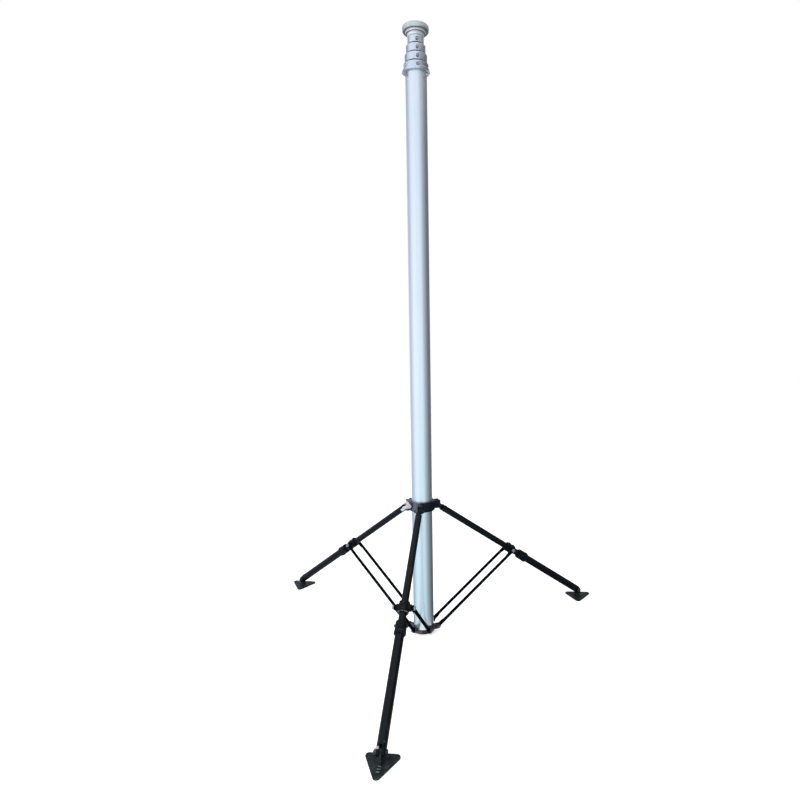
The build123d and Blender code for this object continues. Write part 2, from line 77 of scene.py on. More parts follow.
def axes(origin, z_dir, y_dir):
    """A placing matrix, in metres, with its Z and Y along the two directions."""
    z = Vector(z_dir).normalized()
    y = Vector(y_dir).normalized()
    x = y.cross(z)
    turn = Matrix((x, y, z)).transposed().to_4x4()
    return Matrix.Translation(Vector(origin)) @ turn


def leg_place(side):
    """Origin at the hub pivot, Z down the leg, Y across it."""
    hinge = JOINTS[f"leg_fold_{side}"]
    return axes(hinge["pos_m"], JOINTS[f"shin_slide_{side}"]["axis"], hinge["axis"])


def ankle_place(side):
    """Origin at the ankle pivot, Z up, Y across the leg."""
    hinge = JOINTS[f"foot_tilt_{side}"]
    return axes(hinge["pos_m"], (0, 0, 1), hinge["axis"])


def fork_place(side):
    """Origin at the strut pivot, Z up, Y across the leg."""
    hinge = JOINTS[f"strut_fold_{side}"]
    return axes(hinge["pos_m"], (0, 0, 1), [-c for c in hinge["axis"]])


def hub_place(side):
    """Origin at the hub pivot, Z up, X outwards along the leg."""
    hinge = JOINTS[f"leg_fold_{side}"]
    return axes(hinge["pos_m"], (0, 0, 1), hinge["axis"])


def strut_place(side):
    """Origin at the base pivot, Z up the strut, Y across the leg, and the strut's length."""
    hinge = JOINTS[f"strut_fold_{side}"]
    start = Vector(hinge["pos_m"])
    across = -Vector(hinge["axis"])
    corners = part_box(f"knee_clamp_{side}")
    knee = (corners[0] + corners[1]) / 2
    line = knee - start
    return axes(start, line, across), line.length / MM


TUBE_RADIUS = {k: high(f"section_tube_{k}").x for k in (2, 3, 4, 5)}
TUBE_RADIUS[1] = high("base_tube").x
UPRIGHT = Matrix.Identity(4)


# ---- Materials ---------------------------------------------------------------------------
EVEN = (1, 1, 1)
MIX_FIRST, MIX_SECOND, MIX_COLOUR = 6, 7, 2  # a Mix node's colour sockets


class Value:
    """A shader number that can be used in plain arithmetic."""

    def __init__(self, finish, socket):
        self.finish = finish
        self.socket = socket

    def _worked(self, operation, first, second, clamp=False):
        return self.finish.math(operation, first, second, clamp)

    def __add__(self, other):
        return self._worked("ADD", self, other)

    __radd__ = __add__

    def __sub__(self, other):
        return self._worked("SUBTRACT", self, other)

    def __rsub__(self, other):
        return self._worked("SUBTRACT", other, self)

    def __mul__(self, other):
        return self._worked("MULTIPLY", self, other)

    __rmul__ = __mul__

    def __truediv__(self, other):
        return self._worked("DIVIDE", self, other)

    def __rtruediv__(self, other):
        return self._worked("DIVIDE", other, self)

    def __pow__(self, other):
        return self._worked("POWER", self, other)

    def clamped(self):
        return self._worked("ADD", self, 0.0, clamp=True)


class Finish:
    """One procedural material, put together from nodes."""

    def __init__(self, name, place="place"):
        self.material = bpy.data.materials.new(name)
        self.material.use_nodes = True
        self.tree = self.material.node_tree
        self.tree.nodes.clear()
        self.output = self.tree.nodes.new("ShaderNodeOutputMaterial")
        self.surface = self.tree.nodes.new("ShaderNodeBsdfPrincipled")
        self.tree.links.new(self.surface.outputs[0], self.output.inputs[0])
        if place == "object":
            self.place = self.node("ShaderNodeTexCoord").outputs["Object"]
        else:
            self.place = self.node("ShaderNodeAttribute", {"attribute_name": place}).outputs["Vector"]

    def node(self, kind, settings=None, inputs=None):
        made = self.tree.nodes.new(kind)
        for key, value in (settings or {}).items():
            if key == "stops":
                self._set_stops(made, value)
            else:
                setattr(made, key, value)
        for key, value in (inputs or {}).items():
            self.feed(made.inputs[key], value)
        return made

    @staticmethod
    def _set_stops(ramp, stops):
        elements = ramp.color_ramp.elements
        while len(elements) < len(stops):
            elements.new(0.5)
        for element, (position, shade) in zip(elements, stops):
            element.position = position
            element.color = (*shade, 1.0)

    def feed(self, socket, value):
        if isinstance(value, Value):
            self.tree.links.new(value.socket, socket)
        elif isinstance(value, bpy.types.NodeSocket):
            self.tree.links.new(value, socket)
        else:
            socket.default_value = value

    def math(self, operation, first, second, clamp=False):
        made = self.node("ShaderNodeMath", {"operation": operation, "use_clamp": clamp})
        self.feed(made.inputs[0], first)
        self.feed(made.inputs[1], second)
        return Value(self, made.outputs[0])

    def parts(self):
        split = self.node("ShaderNodeSeparateXYZ", {}, {"Vector": self.place})
        return [Value(self, out) for out in split.outputs]

    def noise(self, scale, stretch=EVEN, detail=2.0, roughness=0.5, seed=0.0):
        spread = self.node("ShaderNodeMapping", {}, {"Vector": self.place, "Scale": stretch})
        made = self.node(
            "ShaderNodeTexNoise", {"noise_dimensions": "4D"},
            {"Vector": spread.outputs[0], "Scale": scale, "Detail": detail, "Roughness": roughness,
             "W": seed},
        )
        return Value(self, made.outputs[0])

    def band(self, value, start, end):
        """0 below start, 1 above end, smooth between."""
        made = self.node(
            "ShaderNodeMapRange", {"interpolation_type": "SMOOTHSTEP"},
            {"Value": value, "From Min": start, "From Max": end, "To Min": 0.0, "To Max": 1.0},
        )
        return Value(self, made.outputs[0])

    def mixed(self, factor, first, second):
        made = self.node("ShaderNodeMix", {"data_type": "RGBA"}, {0: factor})
        for socket, colour in ((MIX_FIRST, first), (MIX_SECOND, second)):
            plain = isinstance(colour, bpy.types.NodeSocket)
            self.feed(made.inputs[socket], colour if plain else (*colour, 1.0))
        return made.outputs[MIX_COLOUR]

    def raised(self, height, microns, strength):
        """Relief of the given height."""
        made = self.node(
            "ShaderNodeBump", {}, {"Height": height, "Distance": microns * MICRON, "Strength": strength}
        )
        return made.outputs[0]

    def set(self, **values):
        names = {
            "colour": "Base Color", "roughness": "Roughness", "metallic": "Metallic", "normal": "Normal",
            "specular": "Specular IOR Level",
        }
        for key, value in values.items():
            self.feed(self.surface.inputs[names[key]], value)
        return self.material


FINISHES = {}
# Where marks fade in or out, in metres: heights on the outer tube, the border between a casting's
# painted lit grey half and its painted shaded black half, and the small ribs on a foot, from its ankle.
HUB_RUB_START, HUB_RUB_END, GRIME_END = (0.52, 0.56), (0.80, 0.90), (0.02, 0.09)
LIT_AND_SHADED_BORDER = (-0.001, 0.004)
RIBS_FOOT, RIBS_TOP, RIBS_NEAR = (-0.0264, -0.0259), (-0.0250, -0.0245), (0.0186, 0.0188)


def finish(name):
    """The named material, made on first use."""
    if name not in FINISHES:
        FINISHES[name] = MAKERS[name]()
    return FINISHES[name]


def bright_tube():
    """Drawn and anodised outer tube, with long die lines, soft smudges and rub marks from the hub."""
    f = Finish("bright_anodised_tube")
    z = f.parts()[2]
    die_lines = f.noise(900.0, (1.0, 1.0, 0.004), detail=3.0, roughness=0.6)
    broad = f.noise(9.0, (1.0, 1.0, 0.12), seed=3.0)
    smudges = f.noise(14.0, (1.0, 1.0, 0.5), detail=4.0, roughness=0.6, seed=7.0)
    rub = f.band(z, *HUB_RUB_START) * (1 - f.band(z, *HUB_RUB_END))
    scratch = f.band(f.noise(700.0, (1.0, 1.0, 0.012), seed=11.0), 0.66, 0.72) * rub
    rings = f.band(f.noise(60.0, (0.02, 0.02, 6.0), seed=5.0), 0.60, 0.70) * rub * 0.35
    grime = (1 - f.band(z, *GRIME_END)) * f.band(smudges, 0.42, 0.66)
    tones = bpy.context.scene.mast_colours
    base = f.mixed(f.band(broad, 0.3, 0.7), tones.tube_light, tones.tube_shade)
    base = f.mixed(scratch * 0.5, base, (0.86, 0.87, 0.88))
    base = f.mixed(grime * 0.35, base, (0.20, 0.19, 0.18))
    rough = 0.33 + die_lines * 0.07 + f.band(smudges, 0.5, 0.75) * 0.05 + scratch * 0.08 + grime * 0.12
    bump = f.raised(die_lines * 0.6 + scratch * 0.8 + rings, microns=20, strength=0.5)
    return f.set(colour=base, roughness=rough, metallic=1.0, normal=bump)


def section_tube():
    """Clear anodised inner tubes, a little duller, with long rub streaks from the guides."""
    f = Finish("clear_anodised_tube")
    die_lines = f.noise(800.0, (1.0, 1.0, 0.004), detail=3.0, roughness=0.6)
    smudges = f.noise(16.0, (1.0, 1.0, 0.4), detail=4.0, roughness=0.6, seed=2.0)
    streaks = f.band(f.noise(500.0, (1.0, 1.0, 0.01), seed=9.0), 0.6, 0.7)
    base = f.mixed(f.band(smudges, 0.35, 0.7), (0.60, 0.62, 0.65), (0.52, 0.54, 0.575))
    base = f.mixed(streaks * 0.3, base, (0.78, 0.79, 0.80))
    rough = 0.32 + die_lines * 0.08 + streaks * 0.08
    return f.set(colour=base, roughness=rough, metallic=0.92,
                 normal=f.raised(die_lines + streaks, microns=20, strength=0.4))


def turned_metal():
    """Turned collars: fine lathe rings, broad soft tones and a few pale nicks."""
    f = Finish("turned_anodised_collar")
    rings = f.noise(1.0, (30.0, 30.0, 2600.0), detail=1.0)
    broad = f.noise(22.0, detail=3.0, roughness=0.55, seed=4.0)
    nicks = f.band(f.noise(260.0, (1, 1, 0.6), detail=3.0, roughness=0.6, seed=8.0), 0.66, 0.70)
    tones = bpy.context.scene.mast_colours
    base = f.mixed(f.band(broad, 0.3, 0.7), tones.collar_light, tones.collar_shade)
    base = f.mixed(nicks * 0.25, base, (0.72, 0.73, 0.74))
    rough = 0.17 + rings * 0.08 + f.band(broad, 0.45, 0.7) * 0.04
    return f.set(colour=base, roughness=rough, metallic=0.95,
                 normal=f.raised(rings + nicks * 0.15, microns=20, strength=0.4))


def black_coat():
    """Satin powder coat on the castings: a faint orange-peel skin, chips and pale scuffs."""
    f = Finish("black_powder_coat")
    peel = f.noise(900.0)
    broad = f.noise(45.0, detail=4.0, roughness=0.6, seed=2.0)
    dust = f.band(f.noise(24.0, detail=5.0, roughness=0.65, seed=5.0), 0.52, 0.74)
    chips = f.band(f.noise(420.0, detail=3.0, roughness=0.6, seed=9.0), 0.70, 0.72)
    tones = bpy.context.scene.mast_colours
    base = f.mixed(dust * 0.35, tones.coat, tones.coat_dust)
    base = f.mixed(chips * 0.8, base, (0.20, 0.20, 0.21))
    rough = 0.30 + broad * 0.14 + dust * 0.12
    bump = f.raised(peel * 0.5 - chips * 0.8, microns=50, strength=0.5)
    return f.set(colour=base, roughness=rough, metallic=chips * 0.8, normal=bump, specular=0.12)


def dark_anodised(
    name="dark_anodised_casting", lit_tone=(0.175, 0.170, 0.200), shaded_tone=(0.016, 0.018, 0.026)
):
    """Casting with painted light and shade: the half towards the key lamp painted grey, the half away
    from it painted black, with real chips.
    """
    f = Finish(name)
    # Painted shade: the half past the border, away from the key lamp, is black; the other half is
    # painted lit grey.
    shaded_half = f.band(f.parts()[0], *LIT_AND_SHADED_BORDER)
    peel = f.noise(700.0)
    broad = f.noise(40.0, detail=4.0, roughness=0.6, seed=2.0)
    chips = f.band(f.noise(420.0, detail=3.0, roughness=0.6, seed=9.0), 0.70, 0.72)
    base = f.mixed(f.band(broad, 0.35, 0.7), lit_tone, tuple(c * 0.71 for c in lit_tone))
    base = f.mixed(shaded_half, base, shaded_tone)
    base = f.mixed(chips * 0.7, base, (0.26, 0.26, 0.27))
    return f.set(colour=base, roughness=0.32 + broad * 0.14, metallic=0.9 - shaded_half * 0.2, specular=0.1,
                 normal=f.raised(peel * 0.5 - chips * 0.8, microns=40, strength=0.5))


def base_coat():
    """The base ring's casting, with painted lit and shaded halves like the hub, darker."""
    return dark_anodised("rubbed_base_casting", (0.105, 0.103, 0.120), (0.034, 0.036, 0.041))


def black_tube():
    """Satin black tubes of the legs, with long rub marks."""
    f = Finish("black_leg_tube")
    grain = f.noise(700.0, (1.0, 1.0, 0.01), detail=3.0, roughness=0.6)
    broad = f.noise(30.0, (1.0, 1.0, 0.25), detail=4.0, roughness=0.6, seed=2.0)
    rubs = f.band(f.noise(520.0, (1.0, 1.0, 0.02), detail=3.0, roughness=0.55, seed=6.0), 0.66, 0.74)
    dust = f.band(f.noise(20.0, (1, 1, 0.6), detail=5.0, roughness=0.65, seed=5.0), 0.54, 0.76)
    tones = bpy.context.scene.mast_colours
    base = f.mixed(dust * 0.3, tones.leg, tones.coat_dust)
    base = f.mixed(rubs * 0.3, base, (0.05, 0.05, 0.055))
    rough = 0.26 + broad * 0.12 + dust * 0.14
    return f.set(colour=base, roughness=rough, metallic=0.0,
                 normal=f.raised(grain * 0.5 + rubs * 0.3, microns=30, strength=0.5), specular=0.18)


def strut_coat():
    """Flat black paint on the struts, chalky in places, with long rub marks."""
    f = Finish("flat_black_strut")
    grain = f.noise(700.0, (1.0, 1.0, 0.01), detail=3.0, roughness=0.6)
    rubs = f.band(f.noise(520.0, (1.0, 1.0, 0.02), detail=3.0, roughness=0.55, seed=6.0), 0.68, 0.76)
    chalk = f.band(f.noise(26.0, (1, 1, 0.6), detail=5.0, roughness=0.65, seed=5.0), 0.54, 0.76)
    tones = bpy.context.scene.mast_colours
    base = f.mixed(chalk * 0.25, tones.leg, tones.coat_dust)
    base = f.mixed(rubs * 0.25, base, (0.045, 0.045, 0.05))
    return f.set(colour=base, roughness=0.60 + chalk * 0.15, metallic=0.0,
                 normal=f.raised(grain * 0.5 + rubs * 0.3, microns=30, strength=0.4), specular=0.0)


def mottled(name, scale, edges, first, second, rough, spread, metallic, patches=0.0):
    """Small metal parts with a mottled skin, whose roughness may vary in broader patches."""
    f = Finish(name, "object")
    mottle = f.noise(scale, detail=3.0, roughness=0.6)
    worn = f.band(f.noise(patches, seed=4.0), 0.4, 0.7) if patches else mottle
    return f.set(colour=f.mixed(f.band(mottle, *edges), first, second), roughness=rough + worn * spread,
                 metallic=metallic, normal=f.raised(mottle, microns=30, strength=0.4))


def steel():
    """Zinc-bright bolts, only on the front leg's ankle screw: its painted lit copy, brighter than the
    side legs' shaded ones.
    """
    return mottled("bright_steel_fastener", 320.0, (0.35, 0.7), (0.62, 0.62, 0.63), (0.46, 0.46, 0.475),
                   rough=0.24, spread=0.14, metallic=0.95, patches=60.0)


def worn_steel():
    """Grey zinc gone soft and matt, for the faces of the thumb screws and the knees' bolts."""
    return mottled("soft_grey_zinc", 320.0, (0.35, 0.7), (0.46, 0.46, 0.47), (0.30, 0.30, 0.31),
                   rough=0.36, spread=0.12, metallic=0.9, patches=90.0)


def dull_steel():
    """Darkened zinc on the hardware near the ground; on the side legs' ankle screws it is also painted
    shade against the bright front one.
    """
    return mottled("dull_zinc_fastener", 320.0, (0.35, 0.7), (0.15, 0.15, 0.16), (0.07, 0.07, 0.075),
                   rough=0.32, spread=0.14, metallic=0.9)


def dark_steel():
    """Blackened screws with a dull oiled skin."""
    return mottled("blackened_screw", 400.0, (0.45, 0.75), (0.022, 0.022, 0.025), (0.07, 0.07, 0.075),
                   rough=0.30, spread=0.16, metallic=0.6)


def knurl_metal():
    """Grey knurled thumb screws, dark between the bars."""
    return mottled("grey_thumb_screw", 380.0, (0.4, 0.75), (0.20, 0.205, 0.21), (0.30, 0.30, 0.31),
                   rough=0.36, spread=0.14, metallic=0.7)


def ring_metal():
    """Grey zinc band of the guy ring, stained dark in patches."""
    f = Finish("grey_guy_band")
    mottle = f.noise(240.0, detail=4.0, roughness=0.6)
    stains = f.band(f.noise(50.0, detail=4.0, roughness=0.6, seed=3.0), 0.45, 0.72)
    base = f.mixed(f.band(mottle, 0.35, 0.7), (0.50, 0.51, 0.53), (0.36, 0.37, 0.385))
    base = f.mixed(stains * 0.4, base, (0.09, 0.09, 0.095))
    return f.set(colour=base, roughness=0.38 + mottle * 0.12, metallic=0.7,
                 normal=f.raised(mottle, microns=30, strength=0.4))


def rubber():
    """Moulded rubber buffer rings with a chalky bloom; their black also stands in as painted shade in
    the joint under each sliding collar.
    """
    f = Finish("moulded_rubber")
    grain = f.noise(1500.0, roughness=0.6)
    bloom = f.band(f.noise(38.0, detail=4.0, roughness=0.6, seed=3.0), 0.45, 0.75)
    base = f.mixed(bloom * 0.5, (0.006, 0.006, 0.007), (0.03, 0.03, 0.032))
    return f.set(colour=base, roughness=0.62 + bloom * 0.2, metallic=0.0,
                 normal=f.raised(grain, microns=60, strength=0.6), specular=0.2)


def cap_metal():
    """Grey anodised head, a little rougher than the collars, with turning rings and dull patches."""
    f = Finish("grey_anodised_head")
    rings = f.noise(1.0, (30.0, 30.0, 2400.0), detail=1.0)
    broad = f.noise(26.0, detail=4.0, roughness=0.6, seed=4.0)
    nicks = f.band(f.noise(240.0, (1, 1, 0.6), detail=3.0, roughness=0.6, seed=8.0), 0.64, 0.69)
    tones = bpy.context.scene.mast_colours
    base = f.mixed(f.band(broad, 0.35, 0.7), tones.cap_light, tuple(c * 0.78 for c in tones.cap_light))
    base = f.mixed(nicks * 0.5, base, (0.72, 0.73, 0.74))
    rough = 0.30 + rings * 0.12 + f.band(broad, 0.45, 0.7) * 0.08
    return f.set(colour=base, roughness=rough, metallic=0.9,
                 normal=f.raised(rings + nicks * 0.4, microns=30, strength=0.5))


def step_metal():
    """Pale bead-blasted step under the head, with faint turning rings and rubbed patches."""
    f = Finish("pale_blasted_step")
    rings = f.noise(1.0, (30.0, 30.0, 2400.0), detail=1.0)
    grain = f.noise(900.0, detail=3.0, roughness=0.6)
    broad = f.noise(40.0, detail=3.0, roughness=0.6, seed=6.0)
    base = f.mixed(f.band(broad, 0.35, 0.7), (0.66, 0.68, 0.70), (0.54, 0.56, 0.59))
    return f.set(colour=base, roughness=0.40 + grain * 0.1, metallic=0.4,
                 normal=f.raised(rings * 0.6 + grain * 0.4, microns=30, strength=0.5))


def cap_band():
    """Painted shade on the head's downward faces, darker than its top, with a fine grain."""
    f = Finish("dark_head_band")
    grain = f.noise(520.0, detail=3.0, roughness=0.6)
    tones = bpy.context.scene.mast_colours
    base = f.mixed(f.band(grain, 0.4, 0.75), tones.cap_dark, tuple(c * 0.6 for c in tones.cap_dark))
    return f.set(colour=base, roughness=0.42 + grain * 0.14, metallic=0.5,
                 normal=f.raised(grain, microns=40, strength=0.5))


def lever_metal():
    """Pale die-cast lever with soft casting grain and polished wear."""
    f = Finish("pale_cast_lever")
    grain = f.noise(600.0, detail=3.0, roughness=0.6)
    broad = f.noise(80.0, detail=3.0, roughness=0.6, seed=3.0)
    base = f.mixed(f.band(broad, 0.35, 0.7), (0.84, 0.83, 0.82), (0.66, 0.65, 0.64))
    return f.set(colour=base, roughness=0.38 + grain * 0.14, metallic=0.3,
                 normal=f.raised(grain, microns=50, strength=0.5))


def plate_metal():
    """Bright brushed plate."""
    f = Finish("bright_brushed_plate")
    brushed = f.noise(600.0, (1.0, 1.0, 0.02), detail=3.0, roughness=0.6)
    marks = f.band(f.noise(120.0, detail=4.0, roughness=0.6, seed=3.0), 0.5, 0.75)
    base = f.mixed(marks * 0.4, (0.86, 0.86, 0.87), (0.70, 0.70, 0.71))
    return f.set(colour=base, roughness=0.28 + brushed * 0.12, metallic=0.7,
                 normal=f.raised(brushed, microns=20, strength=0.4))


def bare_lip():
    """Bare metal showing where the coat has worn through at a lip; on the front sleeve's ring it is a
    painted highlight.
    """
    f = Finish("worn_bare_lip")
    wear = f.noise(260.0, detail=3.0, roughness=0.6)
    worn = f.band(wear, 0.45, 0.58)
    tones = bpy.context.scene.mast_colours
    base = f.mixed(worn, tones.coat, (0.27, 0.28, 0.285))
    return f.set(colour=base, roughness=0.3 + wear * 0.15, metallic=worn * 0.85, specular=0.15,
                 normal=f.raised(worn * -0.6 + wear * 0.2, microns=50, strength=0.5))


def foot_coat():
    """Black coat on the feet: scuffed pale along the small ribs, with a grey film and dust on top."""
    f = Finish("scuffed_foot_coat")
    x, _, z = f.parts()
    peel = f.noise(800.0)
    dust = f.band(f.noise(36.0, detail=5.0, roughness=0.65, seed=5.0), 0.46, 0.72)
    rub = f.noise(180.0, detail=4.0, roughness=0.65, seed=3.0)
    ribs = f.band(z, *RIBS_FOOT) * f.band(x, *RIBS_NEAR) * (1 - f.band(z, *RIBS_TOP))
    worn = ribs * f.band(rub, 0.34, 0.44)
    film = f.band(f.noise(70.0, detail=4.0, roughness=0.6, seed=8.0), 0.42, 0.66)
    base = f.mixed(film, (0.008, 0.012, 0.012), (0.026, 0.032, 0.032))
    base = f.mixed(dust * 0.3, base, (0.062, 0.068, 0.070))
    base = f.mixed(worn, base, (0.30, 0.30, 0.31))
    rough = 0.36 + peel * 0.1 + dust * 0.16
    return f.set(colour=base, roughness=rough, metallic=worn * 0.8,
                 normal=f.raised(peel - worn * 0.8, microns=50, strength=0.5), specular=0.10)


MAKERS = {maker.__name__: maker for maker in (
    bright_tube, section_tube, turned_metal, cap_metal, step_metal, cap_band, ring_metal, dark_anodised,
    base_coat, black_coat, black_tube, strut_coat, foot_coat, bare_lip, lever_metal, plate_metal, rubber,
    steel, worn_steel, dull_steel, dark_steel, knurl_metal,
)}


# ---- Mesh helpers ------------------------------------------------------------------------
MERGED = 20 * MICRON
FLAT_ANGLE, SHARP_ANGLE = math.radians(2.0), math.radians(35.0)
FINE_EDGE, BROAD_EDGE = 0.7, 0.8
PIECE_ANGLE, FASTENER_ANGLE = math.radians(32.0), math.radians(34)
FACE_WEIGHT = 60
NEARLY_STRAIGHT, EDGE_SHARE = math.pi - 0.02, 0.48


def rounded(corners, ease, steps):
    """A closed outline with rounded corners; a corner may carry its own radius as a third number."""
    count = len(corners)
    outline = []
    for i, corner in enumerate(corners):
        here = Vector(corner[:2])
        size = corner[2] if len(corner) > 2 else ease
        before = Vector(corners[i - 1][:2]) - here
        after = Vector(corners[(i + 1) % count][:2]) - here
        angle = before.angle(after, math.pi)
        if size <= 0 or min(before.length, after.length) < TINY or angle > NEARLY_STRAIGHT:
            outline.append(tuple(here))
            continue
        reach = min(size / math.tan(angle / 2), before.length * EDGE_SHARE, after.length * EDGE_SHARE)
        size = reach * math.tan(angle / 2)
        start = here + before.normalized() * reach
        end = here + after.normalized() * reach
        middle = here + (before.normalized() + after.normalized()).normalized() * (
            size / math.sin(angle / 2)
        )
        first = start - middle
        sweep = first.angle(end - middle)
        if first.cross(end - middle) < 0:
            sweep = -sweep
        for step in range(steps + 1):
            spoke = Matrix.Rotation(sweep * step / steps, 2) @ first
            outline.append(tuple(middle + spoke))
    return outline


def circle(radius, facets, start=0.0):
    angles = [start + 2 * math.pi * i / facets for i in range(facets)]
    return [(radius * math.cos(angle), radius * math.sin(angle)) for angle in angles]


def lathe(bm, profile, facets, shade=0):
    """Turn a closed (radius, height) profile about the local Z axis."""
    area = sum(
        a[0] * b[1] - b[0] * a[1] for a, b in zip(profile, profile[1:] + profile[:1])
    )
    if area < 0:
        profile = profile[::-1]
    rings = []
    for radius, height in profile:
        spots = circle(radius, facets) if radius >= TINY else [(0, 0)]
        rings.append([bm.verts.new((x, y, height)) for x, y in spots])
    for first, second in zip(rings, rings[1:] + rings[:1]):
        if len(first) == 1 and len(second) == 1:
            continue
        for i in range(facets):
            j = (i + 1) % facets
            if len(first) == 1:
                corners = (first[0], second[j], second[i])
            elif len(second) == 1:
                corners = (first[i], first[j], second[0])
            else:
                corners = (first[i], first[j], second[j], second[i])
            bm.faces.new(corners).material_index = shade
    return bm


def turned(corners, ease, steps, facets):
    """A new round part from its half section, whose corners are eased."""
    return lathe(bmesh.new(), rounded(corners, ease, steps), facets)


def plain_tube(radius, wall, start, end, facets):
    inner = radius - wall
    corners = [(inner, start), (radius, start), (radius, end), (inner, end)]
    return turned(corners, ease=0.5, steps=2, facets=facets)


def soften(bm, edges, width):
    bmesh.ops.bevel(
        bm, geom=edges, offset=width, segments=2, profile=0.5, affect="EDGES", clamp_overlap=True
    )


def absorb(bm, part):
    """Add one bmesh to another."""
    spare = bpy.data.meshes.new("spare")
    part.to_mesh(spare)
    part.free()
    bm.from_mesh(spare)
    bpy.data.meshes.remove(spare)


def prism(bm, outline, start, end, edge):
    """Extrude a closed outline in local X, Y from start to end along Z, with softened rims."""
    part = bmesh.new()
    face = part.faces.new([part.verts.new((x, y, start)) for x, y in outline])
    moved = bmesh.ops.extrude_face_region(part, geom=[face])
    verts = [item for item in moved["geom"] if isinstance(item, bmesh.types.BMVert)]
    bmesh.ops.translate(part, verts=verts, vec=(0, 0, end - start))
    bmesh.ops.recalc_face_normals(part, faces=part.faces)
    soften(part, [e for e in part.edges if abs(e.verts[0].co.z - e.verts[1].co.z) < TINY], edge)
    absorb(bm, part)


def copy_of(node, place, edge):
    """The CAD node's own shape in local millimetres, merged into clean faces, with softened edges."""
    bm = bmesh.new()
    bm.from_mesh(frame["nodes"][node].data)
    bmesh.ops.remove_doubles(bm, verts=bm.verts, dist=MERGED)
    bmesh.ops.transform(bm, matrix=Matrix.Scale(1 / MM, 4) @ place.inverted(), verts=bm.verts)
    bmesh.ops.dissolve_limit(
        bm, angle_limit=FLAT_ANGLE, verts=bm.verts, edges=bm.edges, delimit={"NORMAL"}
    )
    soften(bm, [
        e for e in bm.edges if len(e.link_faces) == 2 and e.calc_face_angle(0.0) > SHARP_ANGLE
    ], edge)
    return bm


def smooth_mesh(name, bm, angle):
    """A mesh from the bmesh, smooth but for edges sharper than the angle."""
    mesh = bpy.data.meshes.new(name)
    bm.to_mesh(mesh)
    bm.free()
    mesh.polygons.foreach_set("use_smooth", [True] * len(mesh.polygons))
    mesh.set_sharp_from_angle(angle=angle)
    return mesh


def linked(name, data):
    """A new object in the scene."""
    obj = bpy.data.objects.new(name, data)
    bpy.context.scene.collection.objects.link(obj)
    return obj


def hand_over(obj, body, nodes=()):
    """Hang the object on the body that carries it, and hide the CAD nodes it stands for."""
    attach(obj, body)
    if nodes:
        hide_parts(*nodes)


def piece(name, bm, place, finishes, body, nodes):
    """Make the finished object: local millimetres become metres in the row frame."""
    keep = bm.verts.layers.float_vector.new("place")
    for vert in bm.verts:
        vert[keep] = vert.co * MM
    bmesh.ops.transform(bm, matrix=place @ Matrix.Scale(MM, 4), verts=bm.verts)
    obj = linked(name, smooth_mesh(name, bm, PIECE_ANGLE))
    for item in finishes:
        obj.data.materials.append(finish(item))
    # Corner normals weighted by face size keep broad faces flat between soft edges.
    weights = obj.modifiers.new("broad faces", "WEIGHTED_NORMAL")
    weights.keep_sharp = True
    weights.weight = FACE_WEIGHT
    settle(obj)
    hand_over(obj, body, nodes)


def softened(name, node, place, edge, shade, body):
    """A finished copy of one CAD node."""
    piece(name, copy_of(node, place, edge), place, [shade], body, [node])


def settle(obj):
    """Turn the object's modifiers into plain mesh."""
    bpy.context.view_layer.update()
    graph = bpy.context.evaluated_depsgraph_get()
    mesh = bpy.data.meshes.new_from_object(obj.evaluated_get(graph), depsgraph=graph)
    mesh.name = obj.name
    before = obj.data
    obj.modifiers.clear()
    obj.data = mesh
    bpy.data.meshes.remove(before)


# ---- Geometry Nodes trees ----------------------------------------------------------------
RANDOM_MIN, RANDOM_MAX, RANDOM_VALUE = 2, 3, 1  # a Random Value node's sockets for numbers


def new_tree(name, inputs):
    """A geometry tree with named inputs and one geometry output."""
    tree = bpy.data.node_groups.new(name, "GeometryNodeTree")
    for label, kind in inputs:
        tree.interface.new_socket(label, in_out="INPUT", socket_type=f"NodeSocket{kind}")
    tree.interface.new_socket("Made", in_out="OUTPUT", socket_type="NodeSocketGeometry")
    start = tree.nodes.new("NodeGroupInput")
    end = tree.nodes.new("NodeGroupOutput")
    return tree, start, end


def wired(tree, kind, settings=None, inputs=None):
    """Add a node; its inputs are values, sockets or nodes, by name or by number."""
    node = tree.nodes.new(kind)
    for key, value in (settings or {}).items():
        setattr(node, key, value)
    for key, value in (inputs or {}).items():
        socket = node.inputs[key]
        if isinstance(value, bpy.types.NodeSocket):
            tree.links.new(value, socket)
        elif isinstance(value, bpy.types.Node):
            tree.links.new(value.outputs[0], socket)
        else:
            socket.default_value = value
    return node


def finish_tree(tree, end, made, finish_socket):
    real = wired(tree, "GeometryNodeRealizeInstances", {}, {"Geometry": made})
    coated = wired(tree, "GeometryNodeSetMaterial", {}, {"Geometry": real, "Material": finish_socket})
    tree.links.new(coated.outputs[0], end.inputs[0])
    return tree


def seats_tree():
    """One fastener on each seat, turned to it and spun at random about its own axis."""
    tree, start, end = new_tree("Fasteners on their seats", (
        ("Seats", "Geometry"), ("Fastener", "Object"), ("Size", "Float"), ("Spin", "Float"),
        ("Seed", "Int"), ("Finish", "Material"),
    ))
    fastener = wired(tree, "GeometryNodeObjectInfo", {"transform_space": "ORIGINAL"},
                     {"Object": start.outputs["Fastener"]})
    turn = wired(tree, "GeometryNodeInputNamedAttribute", {"data_type": "FLOAT_VECTOR"},
                 {"Name": "turn"})
    size = wired(tree, "ShaderNodeCombineXYZ", {}, {axis: start.outputs["Size"] for axis in "XYZ"})
    placed = wired(tree, "GeometryNodeInstanceOnPoints", {}, {
        "Points": start.outputs["Seats"], "Instance": fastener.outputs["Geometry"], "Rotation": turn,
        "Scale": size,
    })
    spin = wired(tree, "FunctionNodeRandomValue", {"data_type": "FLOAT"}, {
        "Seed": start.outputs["Seed"], RANDOM_MIN: 0.0, RANDOM_MAX: start.outputs["Spin"],
    })
    about = wired(tree, "ShaderNodeCombineXYZ", {}, {"Z": spin.outputs[RANDOM_VALUE]})
    turned = wired(tree, "GeometryNodeRotateInstances", {}, {"Instances": placed, "Rotation": about})
    return finish_tree(tree, end, turned, start.outputs["Finish"])


